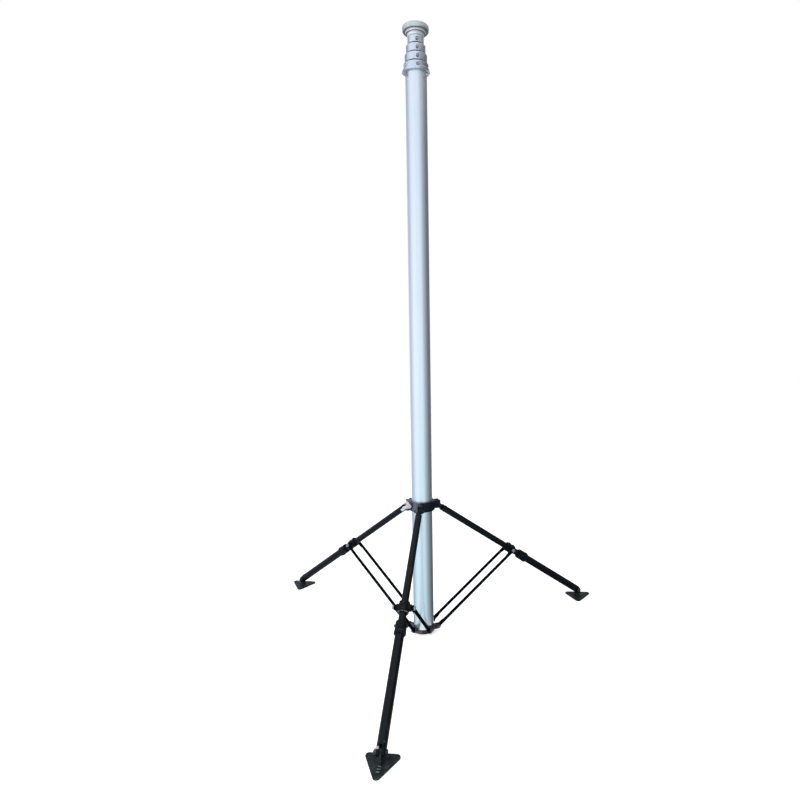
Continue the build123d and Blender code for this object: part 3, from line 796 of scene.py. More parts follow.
def grip_tree():
    """A ring of fine grip bars round a turned head, moved to its place."""
    tree, start, end = new_tree("Grip bars round a head", (
        ("Head", "Geometry"), ("Bars", "Int"), ("Radius", "Float"), ("Bar Radius", "Float"),
        ("Bar Length", "Float"), ("Lift", "Float"), ("Place", "Vector"), ("Turn", "Vector"),
        ("Finish", "Material"),
    ))
    ring = wired(tree, "GeometryNodeMeshCircle", {}, {
        "Vertices": start.outputs["Bars"], "Radius": start.outputs["Radius"],
    })
    bar = wired(tree, "GeometryNodeMeshCylinder", {}, {
        "Vertices": 6, "Radius": start.outputs["Bar Radius"], "Depth": start.outputs["Bar Length"],
    })
    bars = wired(tree, "GeometryNodeInstanceOnPoints", {}, {"Points": ring, "Instance": bar})
    lift = wired(tree, "ShaderNodeCombineXYZ", {}, {"Z": start.outputs["Lift"]})
    raised = wired(tree, "GeometryNodeTransform", {}, {"Geometry": bars, "Translation": lift})
    both = tree.nodes.new("GeometryNodeJoinGeometry")
    tree.links.new(raised.outputs[0], both.inputs[0])
    tree.links.new(start.outputs["Head"], both.inputs[0])
    moved = wired(tree, "GeometryNodeTransform", {}, {
        "Geometry": both, "Translation": start.outputs["Place"], "Rotation": start.outputs["Turn"],
    })
    return finish_tree(tree, end, moved, start.outputs["Finish"])


TREES = {}


def grown(obj, maker, values):
    """Run a tree on the object with the named inputs, and keep the result as plain mesh."""
    if maker.__name__ not in TREES:
        TREES[maker.__name__] = maker()
    tree = TREES[maker.__name__]
    modifier = obj.modifiers.new("made", "NODES")
    modifier.node_group = tree
    for item in tree.interface.items_tree:
        if item.in_out == "INPUT" and item.name in values:
            modifier[item.identifier] = values[item.name]
    settle(obj)
    return obj


# ---- Fasteners ---------------------------------------------------------------------------
FULL_SPIN = 6.283
WASHER_HEIGHT = 1.5


def hexagon_on_washer(top, edge):
    sizes = bpy.context.scene.mast_sizes
    radius = sizes.washer / 2
    bm = turned([
        (0.0, 0), (radius, 0), (radius, WASHER_HEIGHT), (0.0, WASHER_HEIGHT),
    ], ease=0.3, steps=2, facets=40)
    prism(bm, circle(sizes.bolt_flats / math.sqrt(3), 6, math.radians(30)), WASHER_HEIGHT, top, edge)
    return bm


def hex_head():
    """Bolt head on its washer, with a raised round top."""
    bm = hexagon_on_washer(6.4, 0.55)
    top = [(0.0, 6.2), (5.2, 6.2), (5.2, 6.75), (0.0, 6.75)]
    return lathe(bm, rounded(top, ease=0.25, steps=2), facets=32)


def lock_nut():
    """Nut with its rounded collar and the end of the bolt standing out of it."""
    bm = hexagon_on_washer(6.0, 0.5)
    collar = [(4.2, 5.8), (5.9, 5.8), (5.5, 7.6), (4.2, 7.6)]
    lathe(bm, rounded(collar, ease=0.4, steps=2), facets=36)
    threads = [(0.0, 5.8)]
    for i in range(5):
        threads += [(3.9, 5.8 + i * 0.6), (3.5, 6.1 + i * 0.6)]
    return lathe(bm, threads + [(3.2, 8.9), (0.0, 8.9)], 28)


def cap_screw():
    """Round socket-head screw."""
    return turned([
        (0.0, 0.0), (4.5, 0.0), (4.5, 3.8), (2.6, 3.8), (2.6, 1.4), (0.0, 1.4),
    ], ease=0.35, steps=3, facets=40)


def screw_face():
    """Turned face of a thumb screw, dished in the middle."""
    return turned([
        (0.0, -1.5), (3.4, -1.5), (3.4, 0.7), (2.7, 1.0), (1.2, 0.5), (0.0, 0.4),
    ], ease=0.2, steps=3, facets=40)


def rivet():
    """Low blind rivet with the hollow left by its stem."""
    return turned([
        (0.0, -0.6), (3.4, -0.6), (3.4, 0.5), (1.7, 1.3), (1.1, 0.6), (0.0, 0.6),
    ], ease=0.4, steps=3, facets=32)


def seat(place, spot, out):
    """Where a fastener sits, in metres, and which way it points, from a piece's own millimetres."""
    return place @ Vector([c * MM for c in spot]), place.to_3x3() @ Vector(out)


def fasteners(name, body, kind, seats, shade, size=1.0, seed=1, slot="bright_steel"):
    """Copies of a fastener on seats, each seat a place in metres and an outward direction."""
    bm = kind()
    bmesh.ops.scale(bm, vec=(MM, MM, MM), verts=bm.verts)
    source = smooth_mesh(kind.__name__, bm, FASTENER_ANGLE)
    pattern = bpy.data.objects.new(kind.__name__, source)
    spots = bpy.data.meshes.new(name)
    spots.from_pydata([tuple(place) for place, _ in seats], [], [])
    turns = spots.attributes.new("turn", "FLOAT_VECTOR", "POINT")
    for i, (_, direction) in enumerate(seats):
        turns.data[i].vector = direction.to_track_quat("Z", "Y").to_euler()
    obj = grown(linked(name, spots), seats_tree, {
        "Fastener": pattern, "Size": size, "Spin": FULL_SPIN, "Seed": seed, "Finish": finish(shade),
    })
    bpy.data.objects.remove(pattern)
    bpy.data.meshes.remove(source)
    hand_over(obj, body)


def black_fasteners(name, body, kind, seats, **options):
    fasteners(name, body, kind, seats, "dark_steel", slot="black_coat", **options)


# ---- Pieces: lengths in millimetres, along the leg, across it or from the floor ----------
WALL = {1: 2.5, 2: 2.0, 3: 2.0, 4: 2.0, 5: 2.0}  # by tube, from the outermost
COLLAR_WALL = {1: 6.5, 2: 6.5, 3: 6.0, 4: 5.0}
RIM, RIM_HEIGHT = 3.5, 10.0
WAIST, HEAD_HEIGHT = 2.0, 8.0
FIT, GUIDE_HEIGHT = 0.4, 10.0
PLUG_RIM = 4.0
GROOVE_DEPTH, GROOVE_FLOOR, GROOVE_MOUTH = 0.8, 0.7, 1.2  # depth and two half heights
SCREW_TURN = math.radians(288)
SCREW_FACE = 4.6
NECK, STEP, DISC = 31.0, 38.0, 49.0  # the mast head's radii
STEP_RISE, DISC_RISE = 11.0, 18.5
FACING_DOWN, FACING_UP = -0.75, 0.9  # upward part of a face's normal
LEG_LENGTH = (
    Vector(JOINTS["foot_tilt_front"]["pos_m"]) - Vector(JOINTS["leg_fold_front"]["pos_m"])
).length / MM
LEG_WALL = 2
UPPER_TUBE = (22.0, 743.0, 12.5)  # start, end, radius
LOWER_TUBE = (451.0, 802.0, 15.0)
SLEEVE = (443.0, 487.0, 20.0)
PLATE_TURN, PLATE_STEPS = (4, 54), 12  # first angle and sweep, in degrees
KNEE_END, KNEE_RADIUS = 414.0, 17
KNEE_SCREWS = ((-18.3, 0, 384), (-18.3, 0, 404))
ANKLE_SCREW = (-11.4, -8.2, LEG_LENGTH - 5)
ANKLE_RIVET_TURN = math.radians(30)
HUB_EAR = 12.8
BASE_FORK = (29.0, 7.3)  # middle, half width
ANKLE_SIDE = 13.1
STRUT_BAR = (31.0, 6.0)  # middle, radius
STRUT_EYE = (25.0, 33.0, 9.0)  # inner face, outer face, radius
STRUT_BORE = 4.1
STRUT_FLAT = (7.0, 23.0)  # half width, length
# Past the flat: the distance, and how far the bar is back to round there.
STRUT_FLARE = ((0.0, 0.0), (3.5, 0.18), (7.5, 0.55), (11.5, 0.88), (15.0, 1.0))
STRUT_FACETS, STRUT_SQUARENESS = 28, 0.38


def carrier(k):
    """The body that collar k and its lock screw ride on."""
    return "mast" if k == 1 else f"section_{k}"


def make_outer_tube():
    r, groove = TUBE_RADIUS[1], bpy.context.scene.mast_sizes.groove_height
    inner, floor = r - WALL[1], r - GROOVE_DEPTH
    z0, z1 = low("base_tube").z, high("base_tube").z
    bm = turned([
        (inner, z0), (r, z0), (r, groove - GROOVE_MOUTH), (floor, groove - GROOVE_FLOOR),
        (floor, groove + GROOVE_FLOOR), (r, groove + GROOVE_MOUTH), (r, z1), (inner, z1),
    ], ease=0.35, steps=2, facets=144)
    piece("outer_tube", bm, UPRIGHT, ["bright_tube"], "mast", ["base_tube"])


def make_inner_tubes():
    for k in (2, 3, 4, 5):
        node = f"section_tube_{k}"
        bm = plain_tube(TUBE_RADIUS[k], WALL[k], low(node).z, high(node).z, 112)
        piece(f"inner_tube_{k}", bm, UPRIGHT, ["section_tube"], f"section_{k}", [node])


def make_base():
    r = TUBE_RADIUS[1]
    inner, top = r - WALL[1], high("base_cap").z
    bm = turned([
        (0.0, 0.0), (r - 1.2, 0.0, 0.8), (r, 1.2, 0.6), (r, PLUG_RIM), (inner, PLUG_RIM), (inner, top),
        (0.0, top),
    ], ease=0.3, steps=3, facets=128)
    piece("base_plug", bm, UPRIGHT, ["black_coat"], "mast", ["base_cap"])
    softened("base_forks", "base_ring", UPRIGHT, FINE_EDGE, "base_coat", "mast")


def collar_outline(k, ring):
    """Half section of collar k above its buffer ring, each corner with its own easing."""
    seat_radius = TUBE_RADIUS[k]
    guide = TUBE_RADIUS[k + 1] + FIT
    outer = seat_radius + COLLAR_WALL[k]
    foot, top = low(f"collar_{k}").z, high(f"collar_{k}").z
    if k == 1:
        rim, waist, neck = outer + RIM, outer - WAIST, top - HEAD_HEIGHT
        lower = [
            (seat_radius, foot), (rim - 1.6, foot, 0.6), (rim, foot + 1.6, 0.6),
            (rim, foot + RIM_HEIGHT - 1.6, 0.6), (rim - 1.6, foot + RIM_HEIGHT, 0.5),
            (waist, foot + RIM_HEIGHT, 1.2), (waist, neck - WAIST, 1.0), (outer, neck, 0.6),
        ]
    else:
        foot += ring
        lower = [(seat_radius, foot), (outer - 0.7, foot, 0.4), (outer, foot + 0.7, 0.4)]
    return lower + [
        (outer, top - 1.6, 0.7), (outer - 1.6, top, 0.7), (guide + 0.8, top, 0.4),
        (guide, top - 0.8, 0.4), (guide, top - GUIDE_HEIGHT), (seat_radius, top - GUIDE_HEIGHT),
    ]


def make_collars():
    ring = bpy.context.scene.mast_sizes.buffer_height
    for k in (1, 2, 3, 4):
        bm = turned(collar_outline(k, ring), ease=0.0, steps=3, facets=128)
        # The black rubber ring under each upper collar is partly a real buffer and partly painted shade
        # in the joint.
        if k > 1:
            inner, outer = TUBE_RADIUS[k], TUBE_RADIUS[k] + COLLAR_WALL[k] - 0.9
            foot = low(f"collar_{k}").z
            end = foot + ring - 0.05
            lathe(bm, rounded([
                (inner, foot), (outer, foot, 0.5), (outer, foot + ring * 0.42, 0.3),
                (outer - 0.7, foot + ring * 0.5, 0.3), (outer, foot + ring * 0.58, 0.3),
                (outer, end, 0.5), (inner, end),
            ], ease=0.0, steps=2), facets=128, shade=1)
        finishes = ["turned_metal", "rubber"] if k > 1 else ["turned_metal"]
        piece(f"turned_collar_{k}", bm, UPRIGHT, finishes, carrier(k), [f"collar_{k}"])


def make_lock_screws():
    """Thumb screws: a turned head with a socket, ringed by fine grip bars."""
    out = Vector((math.cos(SCREW_TURN), math.sin(SCREW_TURN), 0))
    for k in (1, 2, 3, 4):
        node = f"lock_knob_{k}"
        face = TUBE_RADIUS[k] + COLLAR_WALL[k] - (WAIST if k == 1 else 0) + 0.3
        bm = turned([
            (0.0, -3.0), (3.0, -3.0), (3.0, 0.0), (4.6, 0.0), (4.6, 0.8), (5.5, 1.0, 0.3),
            (5.5, 4.8, 0.5), (5.0, 5.6, 0.3), (3.2, 5.6, 0.3), (2.7, 3.4), (0.0, 3.4),
        ], ease=0.15, steps=2, facets=48)
        bmesh.ops.scale(bm, vec=(MM, MM, MM), verts=bm.verts)
        obj = linked(f"lock_screw_{k}", smooth_mesh(node, bm, FASTENER_ANGLE))
        place = out * face * MM
        place.z = (low(node) + high(node)).z / 2 * MM
        grown(obj, grip_tree, {
            "Bars": 36, "Radius": 5.5 * MM, "Bar Radius": 0.45 * MM, "Bar Length": 3.6 * MM,
            "Lift": 2.9 * MM, "Place": tuple(place),
            "Turn": tuple(out.to_track_quat("Z", "Y").to_euler()), "Finish": finish("knurl_metal"),
        })
        hand_over(obj, carrier(k), [node])
        fasteners(f"lock_screw_face_{k}", carrier(k), screw_face, [(place + out * SCREW_FACE * MM, out)],
                  "worn_steel", seed=40 + k)


def make_head():
    z0, top = low("top_cap").z, high("top_cap").z
    inner, ledge, under = TUBE_RADIUS[5], z0 + STEP_RISE, z0 + DISC_RISE
    bm = turned([
        (0.0, ledge), (inner, ledge), (inner, z0), (NECK - 1.0, z0, 0.4), (NECK, z0 + 1.0, 0.4),
        (NECK, ledge, 0.5), (STEP - 1.0, ledge, 0.5), (STEP, ledge + 1.0, 0.5), (STEP, under, 0.5),
        (DISC - 2.6, under, 0.8), (DISC, under + 3.6, 2.0),
        (DISC, top - 3.5, 1.2), (DISC - 4.0, top, 1.2), (DISC - 9.0, top, 0.3),
        (DISC - 9.6, top - 0.8, 0.3), (DISC - 11.0, top - 0.8, 0.3), (DISC - 11.6, top, 0.3),
        (4.0, top, 0.2), (1.5, top - 2.2, 0.2), (0.0, top - 2.4),
    ], ease=0.25, steps=4, facets=144)
    bm.normal_update()
    # Painted shade: downward faces under the disc get the shaded underside finish; the rest below the
    # disc is the pale step.
    for face in bm.faces:
        middle = face.calc_center_median()
        if face.normal.z < FACING_DOWN and middle.xy.length > NECK + 0.5:
            face.material_index = 2
        elif middle.z < under - 0.2:
            face.material_index = 1
    piece("mast_head", bm, UPRIGHT, ["cap_metal", "step_metal", "cap_band"], "section_5", ["top_cap"])


def make_guy_ring():
    softened("guy_plate", "guy_ring", UPRIGHT, FINE_EDGE, "ring_metal", "mast")


def make_hub():
    softened("hub_casting", "hub_ring", UPRIGHT, BROAD_EDGE, "dark_anodised", "hub")
    softened("clamp_lever", "hub_clamp_bolt", UPRIGHT, BROAD_EDGE, "lever_metal", "hub")
    heads, nuts = (
        [seat(hub_place(side), (0, sign * HUB_EAR, 0), (0, sign, 0)) for side in SIDES]
        for sign in (-1, 1)
    )
    black_fasteners("hub_bolt_heads", "hub", cap_screw, heads, seed=3, size=1.35)
    black_fasteners("hub_lock_nuts", "hub", lock_nut, nuts, seed=5, size=0.85)


def make_legs():
    start, end, radius = UPPER_TUBE
    for side in SIDES:
        place, body = leg_place(side), f"leg_{side}"
        softened(f"leg_eye_{side}", f"leg_end_{side}", place, FINE_EDGE, "black_coat", body)
        bm = plain_tube(radius, LEG_WALL, start, end, 80)
        piece(f"upper_tube_{side}", bm, place, ["black_tube"], body, [f"upper_leg_{side}"])
        bm = copy_of(f"knee_clamp_{side}", place, BROAD_EDGE)
        bm.normal_update()
        for face in bm.faces:
            middle = face.calc_center_median()
            at_lip = middle.z > KNEE_END - 2.2 and middle.xy.length > KNEE_RADIUS
            if at_lip and face.normal.z < FACING_UP:
                face.material_index = 1
        piece(f"knee_clamp_{side}_cast", bm, place, ["black_coat", "bare_lip"], body,
              [f"knee_clamp_{side}"])
        rivets = [seat(place, (sign * radius, 0, start + 12), (sign, 0, 0)) for sign in (-1, 1)]
        black_fasteners(f"leg_eye_rivets_{side}", body, rivet, rivets)
        make_plate(side, place, radius, start)
        screws = [seat(place, spot, (-1, 0, 0)) for spot in KNEE_SCREWS]
        black_fasteners(f"knee_set_screws_{side}", body, cap_screw, screws, size=0.72, seed=7)


def make_plate(side, place, radius, start):
    """Blank bright plate wrapped round one flank of the upper tube near its eye."""
    first, sweep = PLATE_TURN
    angles = [math.radians(first + sweep * i / PLATE_STEPS) for i in range(PLATE_STEPS + 1)]
    outer, inner = radius + 0.75, radius - 0.15
    outline = [(outer * math.sin(a), outer * math.cos(a)) for a in angles]
    outline += [(inner * math.sin(a), inner * math.cos(a)) for a in angles[::-1]]
    bm = bmesh.new()
    prism(bm, outline, start + 2.5, start + 20.0, 0.25)
    piece(f"bright_plate_{side}", bm, place, ["plate_metal"], f"leg_{side}", ())


def make_shins():
    t0, t1, r = LOWER_TUBE
    s0, s1, out = SLEEVE
    bore = UPPER_TUBE[2] + FIT
    for side in SIDES:
        place, body = leg_place(side), f"shin_{side}"
        bm = plain_tube(r, LEG_WALL, t0, t1, 88)
        piece(f"lower_tube_{side}", bm, place, ["black_tube"], body, [f"lower_leg_{side}"])
        bm = turned([
            (bore, s0), (out - 3, s0, 0.6), (out - 1, s0 + 3, 0.8), (out - 1, s1 - 16, 0.5),
            (out - 3, s1 - 15, 0.4), (out - 3, s1 - 12, 0.4), (out, s1 - 10, 0.6), (out, s1 - 2, 0.7),
            (out - 2, s1, 0.6), (r, s1), (r, t0), (bore, t0),
        ], ease=0.2, steps=3, facets=96)
        # Painted highlight: only the front leg's sleeve gets bare metal on the top chamfer of its ring.
        for face in bm.faces:
            middle = face.calc_center_median()
            if side == "front" and s1 - 12.2 < middle.z < s1 - 9.4 and middle.xy.length > out - 3.5:
                face.material_index = 1
        piece(f"lock_sleeve_{side}_turned", bm, place, ["black_coat", "bare_lip"], body,
              [f"lock_sleeve_{side}"])
        softened(f"ankle_eye_{side}", f"ankle_block_{side}", place, FINE_EDGE, "black_coat", body)
        screws = [seat(place, (0, sign * (out - 1.4), s0 + 14), (0, sign, 0)) for sign in (-1, 1)]
        black_fasteners(f"sleeve_screws_{side}", body, cap_screw, screws, seed=11)
        c, across = math.cos(ANKLE_RIVET_TURN), math.sin(ANKLE_RIVET_TURN)
        rivets = [seat(place, (-r * c, r * sn, t1 - 8), (-c, sn, 0)) for sn in (-across, across)]
        black_fasteners(f"ankle_rivets_{side}", body, rivet, rivets, seed=13)
        # Painted light and shade: the front leg's ankle screw is bright steel and the side legs' are
        # dull zinc, lit and shaded copies of one screw.
        fasteners(f"ankle_set_screw_{side}", body, cap_screw, [seat(place, ANKLE_SCREW, (-1, -0.05, 0))],
                  "steel" if side == "front" else "dull_steel", size=0.85, seed=37)


def flattened_bar(bm, side, length):
    """A round bar whose ends are pressed flat, drawn through sections along it."""
    middle, radius = STRUT_BAR
    inner, outer, _ = STRUT_EYE
    flat_middle, flat_half = (inner + outer) / 2, (outer - inner) / 2
    width, reach = STRUT_FLAT
    sections = [(0.0, 0.0)] + [(reach + rise, share) for rise, share in STRUT_FLARE]
    sections += [(length - z, share) for z, share in sections[::-1]]
    rings = []
    for z, share in sections:
        centre = flat_middle + (middle - flat_middle) * share
        power = STRUT_SQUARENESS + (1 - STRUT_SQUARENESS) * share
        half = flat_half + (radius - flat_half) * share
        ring = []
        for c, sn in circle(1.0, STRUT_FACETS):
            across = math.copysign(abs(sn) ** power, sn) * half
            wide = math.copysign(abs(c) ** power, c) * (width + (radius - width) * share)
            ring.append(bm.verts.new((wide, side * (centre + across), z)))
        rings.append(ring if side > 0 else ring[::-1])
    for first, second in zip(rings, rings[1:]):
        for i in range(STRUT_FACETS):
            j = (i + 1) % STRUT_FACETS
            bm.faces.new((first[i], first[j], second[j], second[i]))
    bm.faces.new(rings[0][::-1])
    bm.faces.new(rings[-1])


def strut_eye(bm, side, z):
    """A round eye whose bore runs across the leg, at height z on the bar."""
    inner, outer, radius = STRUT_EYE
    width = outer - inner
    part = turned([
        (STRUT_BORE, 0.0), (radius, 0.0), (radius, width), (STRUT_BORE, width),
    ], ease=0.7, steps=3, facets=56)
    turn = Matrix.Rotation(math.radians(-90 * side), 4, "X")
    place = Matrix.Translation((0, side * inner, z)) @ turn
    bmesh.ops.transform(part, matrix=place, verts=part.verts)
    absorb(bm, part)


def make_struts():
    for side in SIDES:
        place, length = strut_place(side)
        body = f"strut_pair_{side}"
        bm = bmesh.new()
        for sign in (-1, 1):
            flattened_bar(bm, sign, length)
            for z in (0.0, length):
                strut_eye(bm, sign, z)
        piece(f"strut_bars_{side}", bm, place, ["strut_coat"], body, [f"struts_{side}"])
        bolts = [seat(place, (0, sign * STRUT_EYE[1], length), (0, sign, 0)) for sign in (-1, 1)]
        fasteners(f"knee_bolts_{side}", body, hex_head, bolts, "worn_steel", seed=17, size=0.9)


def make_base_bolts():
    heads, nuts = [], []
    middle, half = BASE_FORK
    for side in SIDES:
        place = fork_place(side)
        for sign in (-1, 1):
            heads.append(seat(place, (0, sign * (middle + half), 0), (0, sign, 0)))
            nuts.append(seat(place, (0, sign * (middle - half), 0), (0, -sign, 0)))
    fasteners("base_bolt_heads", "mast", hex_head, heads, "dull_steel", seed=19, size=0.8)
    black_fasteners("base_bolt_ends", "mast", rivet, nuts, seed=23, size=1.5)


def make_feet():
    for side in SIDES:
        place, body = ankle_place(side), f"foot_{side}"
        softened(f"foot_{side}_pad", f"foot_plate_{side}", place, BROAD_EDGE, "foot_coat", body)
        bolt, nut = ([seat(place, (0, sign * ANKLE_SIDE, 0), (0, sign, 0))] for sign in (1, -1))
        black_fasteners(f"ankle_bolt_{side}", body, hex_head, bolt, seed=29, size=0.95)
        fasteners(f"ankle_nut_{side}", body, lock_nut, nut, "dull_steel", seed=31, size=0.95)


# ---- Stage: lengths in metres, angles in degrees -----------------------------------------
CAMERA_TURN = math.radians(9.46)
CAMERA_SIDE = math.radians(279.46)
CAMERA_AIM = tuple(math.radians(angle) for angle in (4.45, 2.71, 0.59))
CAMERA_PLACE = (0, -2.211, 1.134)
SENSOR, LENS = 36.0, 25.785
SHIFT = (-0.0594, -0.0135)
FAR = 100.0
FLOOR_HALF = 9.0
WALL_RADIUS, WALL_SLANT = 5.0, 0.6
LAMP_AIM = 0.9
WHITE = (1, 1, 1, 1)
SKY = (0.93, 0.96, 1.0, 1.0)
# Colour of the wall's reflection by the angle from the camera's side, and by height.
WALL_TURN = (
    (-180, (0.58, 0.57, 0.70)), (-150, (0.66, 0.66, 0.80)), (-132, (0.58, 0.59, 0.70)),
    (-112, (0.44, 0.47, 0.54)), (-97, (0.61, 0.66, 0.77)), (-80, (0.81, 0.88, 1.00)),
    (-58, (0.92, 1.01, 1.11)), (-38, (0.90, 1.00, 1.10)), (-12, (0.78, 0.86, 0.97)),
    (18, (0.82, 0.96, 1.08)), (33, (0.68, 0.79, 0.88)), (46, (0.42, 0.47, 0.53)),
    (62, (0.35, 0.385, 0.43)), (75, (0.25, 0.28, 0.32)), (88, (0.16, 0.175, 0.195)),
    (105, (0.105, 0.115, 0.125)), (135, (0.14, 0.14, 0.165)), (165, (0.36, 0.35, 0.43)),
    (180, (0.58, 0.57, 0.70)),
)
WALL_LIFT = (
    (-3.0, (0.71, 0.84, 0.83)), (-1.5, (0.80, 0.90, 0.915)), (0.3, (0.97, 0.98, 0.98)),
    (1.7, (1.0, 1.0, 1.0)), (2.8, (0.87, 0.88, 0.92)), (4.2, (0.72, 0.78, 0.86)),
    (5.0, (0.68, 0.75, 0.84)),
)


def make_camera():
    camera = bpy.data.cameras.new("camera")
    camera.sensor_width = SENSOR
    camera.lens = LENS
    camera.shift_x, camera.shift_y = SHIFT
    camera.clip_end = FAR
    pitch, yaw, roll = CAMERA_AIM
    level = math.cos(pitch)
    forward = Vector((math.sin(yaw) * level, math.cos(yaw) * level, -math.sin(pitch)))
    level_right = Vector((math.cos(yaw), -math.sin(yaw), 0))
    level_up = level_right.cross(forward)
    right = level_right * math.cos(roll) - level_up * math.sin(roll)
    up = level_right * math.sin(roll) + level_up * math.cos(roll)
    turn = Matrix((right, up, -forward)).transposed()
    place = Matrix.Translation(CAMERA_PLACE) @ turn.to_4x4()
    obj = linked("camera", camera)
    obj.matrix_world = Matrix.Rotation(CAMERA_TURN, 4, "Z") @ place
    bpy.context.scene.camera = obj


def plain_object(name, bm, material):
    mesh = bpy.data.meshes.new(name)
    bm.to_mesh(mesh)
    bm.free()
    mesh.materials.append(material)
    obj = linked(name, mesh)
    return obj


def make_floor():
    """Pale floor that reads as white round the object and keeps its soft shadow."""
    f = Finish("pale_floor", "object")
    grain = f.noise(40.0, detail=3.0, roughness=0.6)
    f.set(colour=f.mixed(grain, (0.86, 0.86, 0.86), (0.90, 0.90, 0.90)), roughness=0.8)
    stage = bpy.context.scene.mast_stage
    glow = f.node("ShaderNodeEmission", {}, {"Color": WHITE, "Strength": stage.floor_glow})
    lifted = f.node("ShaderNodeAddShader", {}, {0: f.surface.outputs[0], 1: glow.outputs[0]})
    white = f.node("ShaderNodeEmission", {}, {"Color": WHITE, "Strength": 1.0})
    ray = f.node("ShaderNodeLightPath")
    seen = Value(f, ray.outputs["Is Camera Ray"])
    glossy, through = (Value(f, ray.outputs[f"Is {kind} Ray"]) for kind in ("Glossy", "Transmission"))
    mirrored = (glossy + through).clamped()
    first = f.node("ShaderNodeMixShader", {}, {0: seen, 1: f.surface.outputs[0], 2: lifted.outputs[0]})
    both = f.node("ShaderNodeMixShader", {}, {0: mirrored, 1: first.outputs[0], 2: white.outputs[0]})
    f.tree.links.new(both.outputs[0], f.output.inputs[0])
    bm = bmesh.new()
    bmesh.ops.create_grid(bm, x_segments=2, y_segments=2, size=FLOOR_HALF)
    plain_object("floor", bm, f.material)


def make_reflection_tent():
    """A round studio wall that only reflections see, bright in front and dark at the right."""
    f = Finish("studio_wall", "object")
    x, y, z = f.parts()
    c, s = math.cos(CAMERA_SIDE), math.sin(CAMERA_SIDE)
    turn = f.math("ARCTAN2", y * c - x * s, x * c + y * s)
    stops = [((angle + 180) / 360, shade) for angle, shade in WALL_TURN]
    round_wall = f.node("ShaderNodeValToRGB", {"stops": stops}, {"Fac": turn / (2 * math.pi) + 0.5})
    out = (x * x + y * y) ** 0.5
    lift = z + (out - WALL_RADIUS) * WALL_SLANT
    bottom, top = WALL_LIFT[0][0], WALL_LIFT[-1][0]
    stops = [((height - bottom) / (top - bottom), shade) for height, shade in WALL_LIFT]
    up_wall = f.node("ShaderNodeValToRGB", {"stops": stops}, {"Fac": (lift - bottom) / (top - bottom)})
    both = f.node("ShaderNodeMix", {"data_type": "RGBA", "blend_type": "MULTIPLY"}, {
        0: 1.0, MIX_FIRST: round_wall.outputs[0], MIX_SECOND: up_wall.outputs[0],
    })
    angle = turn * (180 / math.pi)
    # The wall's top is dimmer at the right and at the back.
    right = f.band(angle, 12, 30) * 0.55 + f.band(angle, 45, 70) * 0.22
    shaded = f.band(lift, 3.7, 4.4) * right * (1 - f.band(angle, 100, 130))
    behind = f.band(lift, 4.15, 4.4) * (1 - f.band(angle, -125, -100)) * 0.5
    glow = f.node("ShaderNodeEmission", {}, {
        "Color": both.outputs[MIX_COLOUR],
        "Strength": (1 - shaded - behind).clamped() * bpy.context.scene.mast_stage.wall_strength,
    })
    f.tree.links.new(glow.outputs[0], f.output.inputs[0])
    bm = lathe(bmesh.new(), [
        (0.10, 0.004), (4.5, 0.004), (5.0, 0.5), (5.0, 5.0), (5.002, 5.0), (5.002, 0.0), (0.10, 0.002),
    ], 96)
    wall = plain_object("studio_wall", bm, f.material)
    for ray in ("camera", "diffuse", "shadow", "transmission", "volume_scatter"):
        setattr(wall, f"visible_{ray}", False)


def lamp(name, azimuth, distance, height, size, power, colour=(1, 1, 1)):
    """A round lamp, placed by its angle from the camera's side and aimed at the tripod."""
    light = bpy.data.lights.new(name, "AREA")
    light.shape = "DISK"
    light.size = size
    light.energy = power
    light.color = colour
    side = CAMERA_SIDE + math.radians(azimuth)
    place = Vector((math.cos(side) * distance, math.sin(side) * distance, height))
    aim = (Vector((0, 0, LAMP_AIM)) - place).to_track_quat("-Z", "Y").to_matrix().to_4x4()
    obj = linked(name, light)
    obj.matrix_world = Matrix.Translation(place) @ aim
    obj.visible_glossy = False


def make_world():
    """Soft light from all round; the camera and reflections see plain white instead."""
    world = bpy.data.worlds.new("studio")
    bpy.context.scene.world = world
    world.use_nodes = True
    tree = world.node_tree
    tree.nodes.clear()
    ray = tree.nodes.new("ShaderNodeLightPath")
    seen = wired(tree, "ShaderNodeMath", {"operation": "ADD"}, {
        0: ray.outputs["Is Camera Ray"], 1: ray.outputs["Is Glossy Ray"],
    })
    clear = wired(tree, "ShaderNodeMath", {"operation": "ADD", "use_clamp": True}, {
        0: seen, 1: ray.outputs["Is Transmission Ray"],
    })
    sky = wired(tree, "ShaderNodeBackground", {}, {
        "Color": SKY, "Strength": bpy.context.scene.mast_stage.sky_strength,
    })
    white = wired(tree, "ShaderNodeBackground", {}, {"Color": WHITE, "Strength": 1.0})
    both = wired(tree, "ShaderNodeMixShader", {}, {0: clear, 1: sky, 2: white})
    wired(tree, "ShaderNodeOutputWorld", {}, {0: both})


def make_stage():
    make_camera()
    make_floor()
    make_reflection_tent()
    make_world()
    power = bpy.context.scene.mast_stage.lamp_power
    lamp("key", -48, 3.6, 3.0, 2.2, 1.0 * power, colour=(0.96, 0.97, 1.0))
    lamp("fill", 60, 4.2, 2.0, 2.6, 0.22 * power)
    lamp("top", 170, 1.6, 4.6, 2.4, 0.35 * power)
    bpy.context.scene.view_settings.view_transform = "Standard"


# ---- The add-on --------------------------------------------------------------------------
def tone(name, text, default):
    return FloatVectorProperty(
        name=name, description=text, default=default, size=3, subtype="COLOR", min=0.0, max=1.0
    )


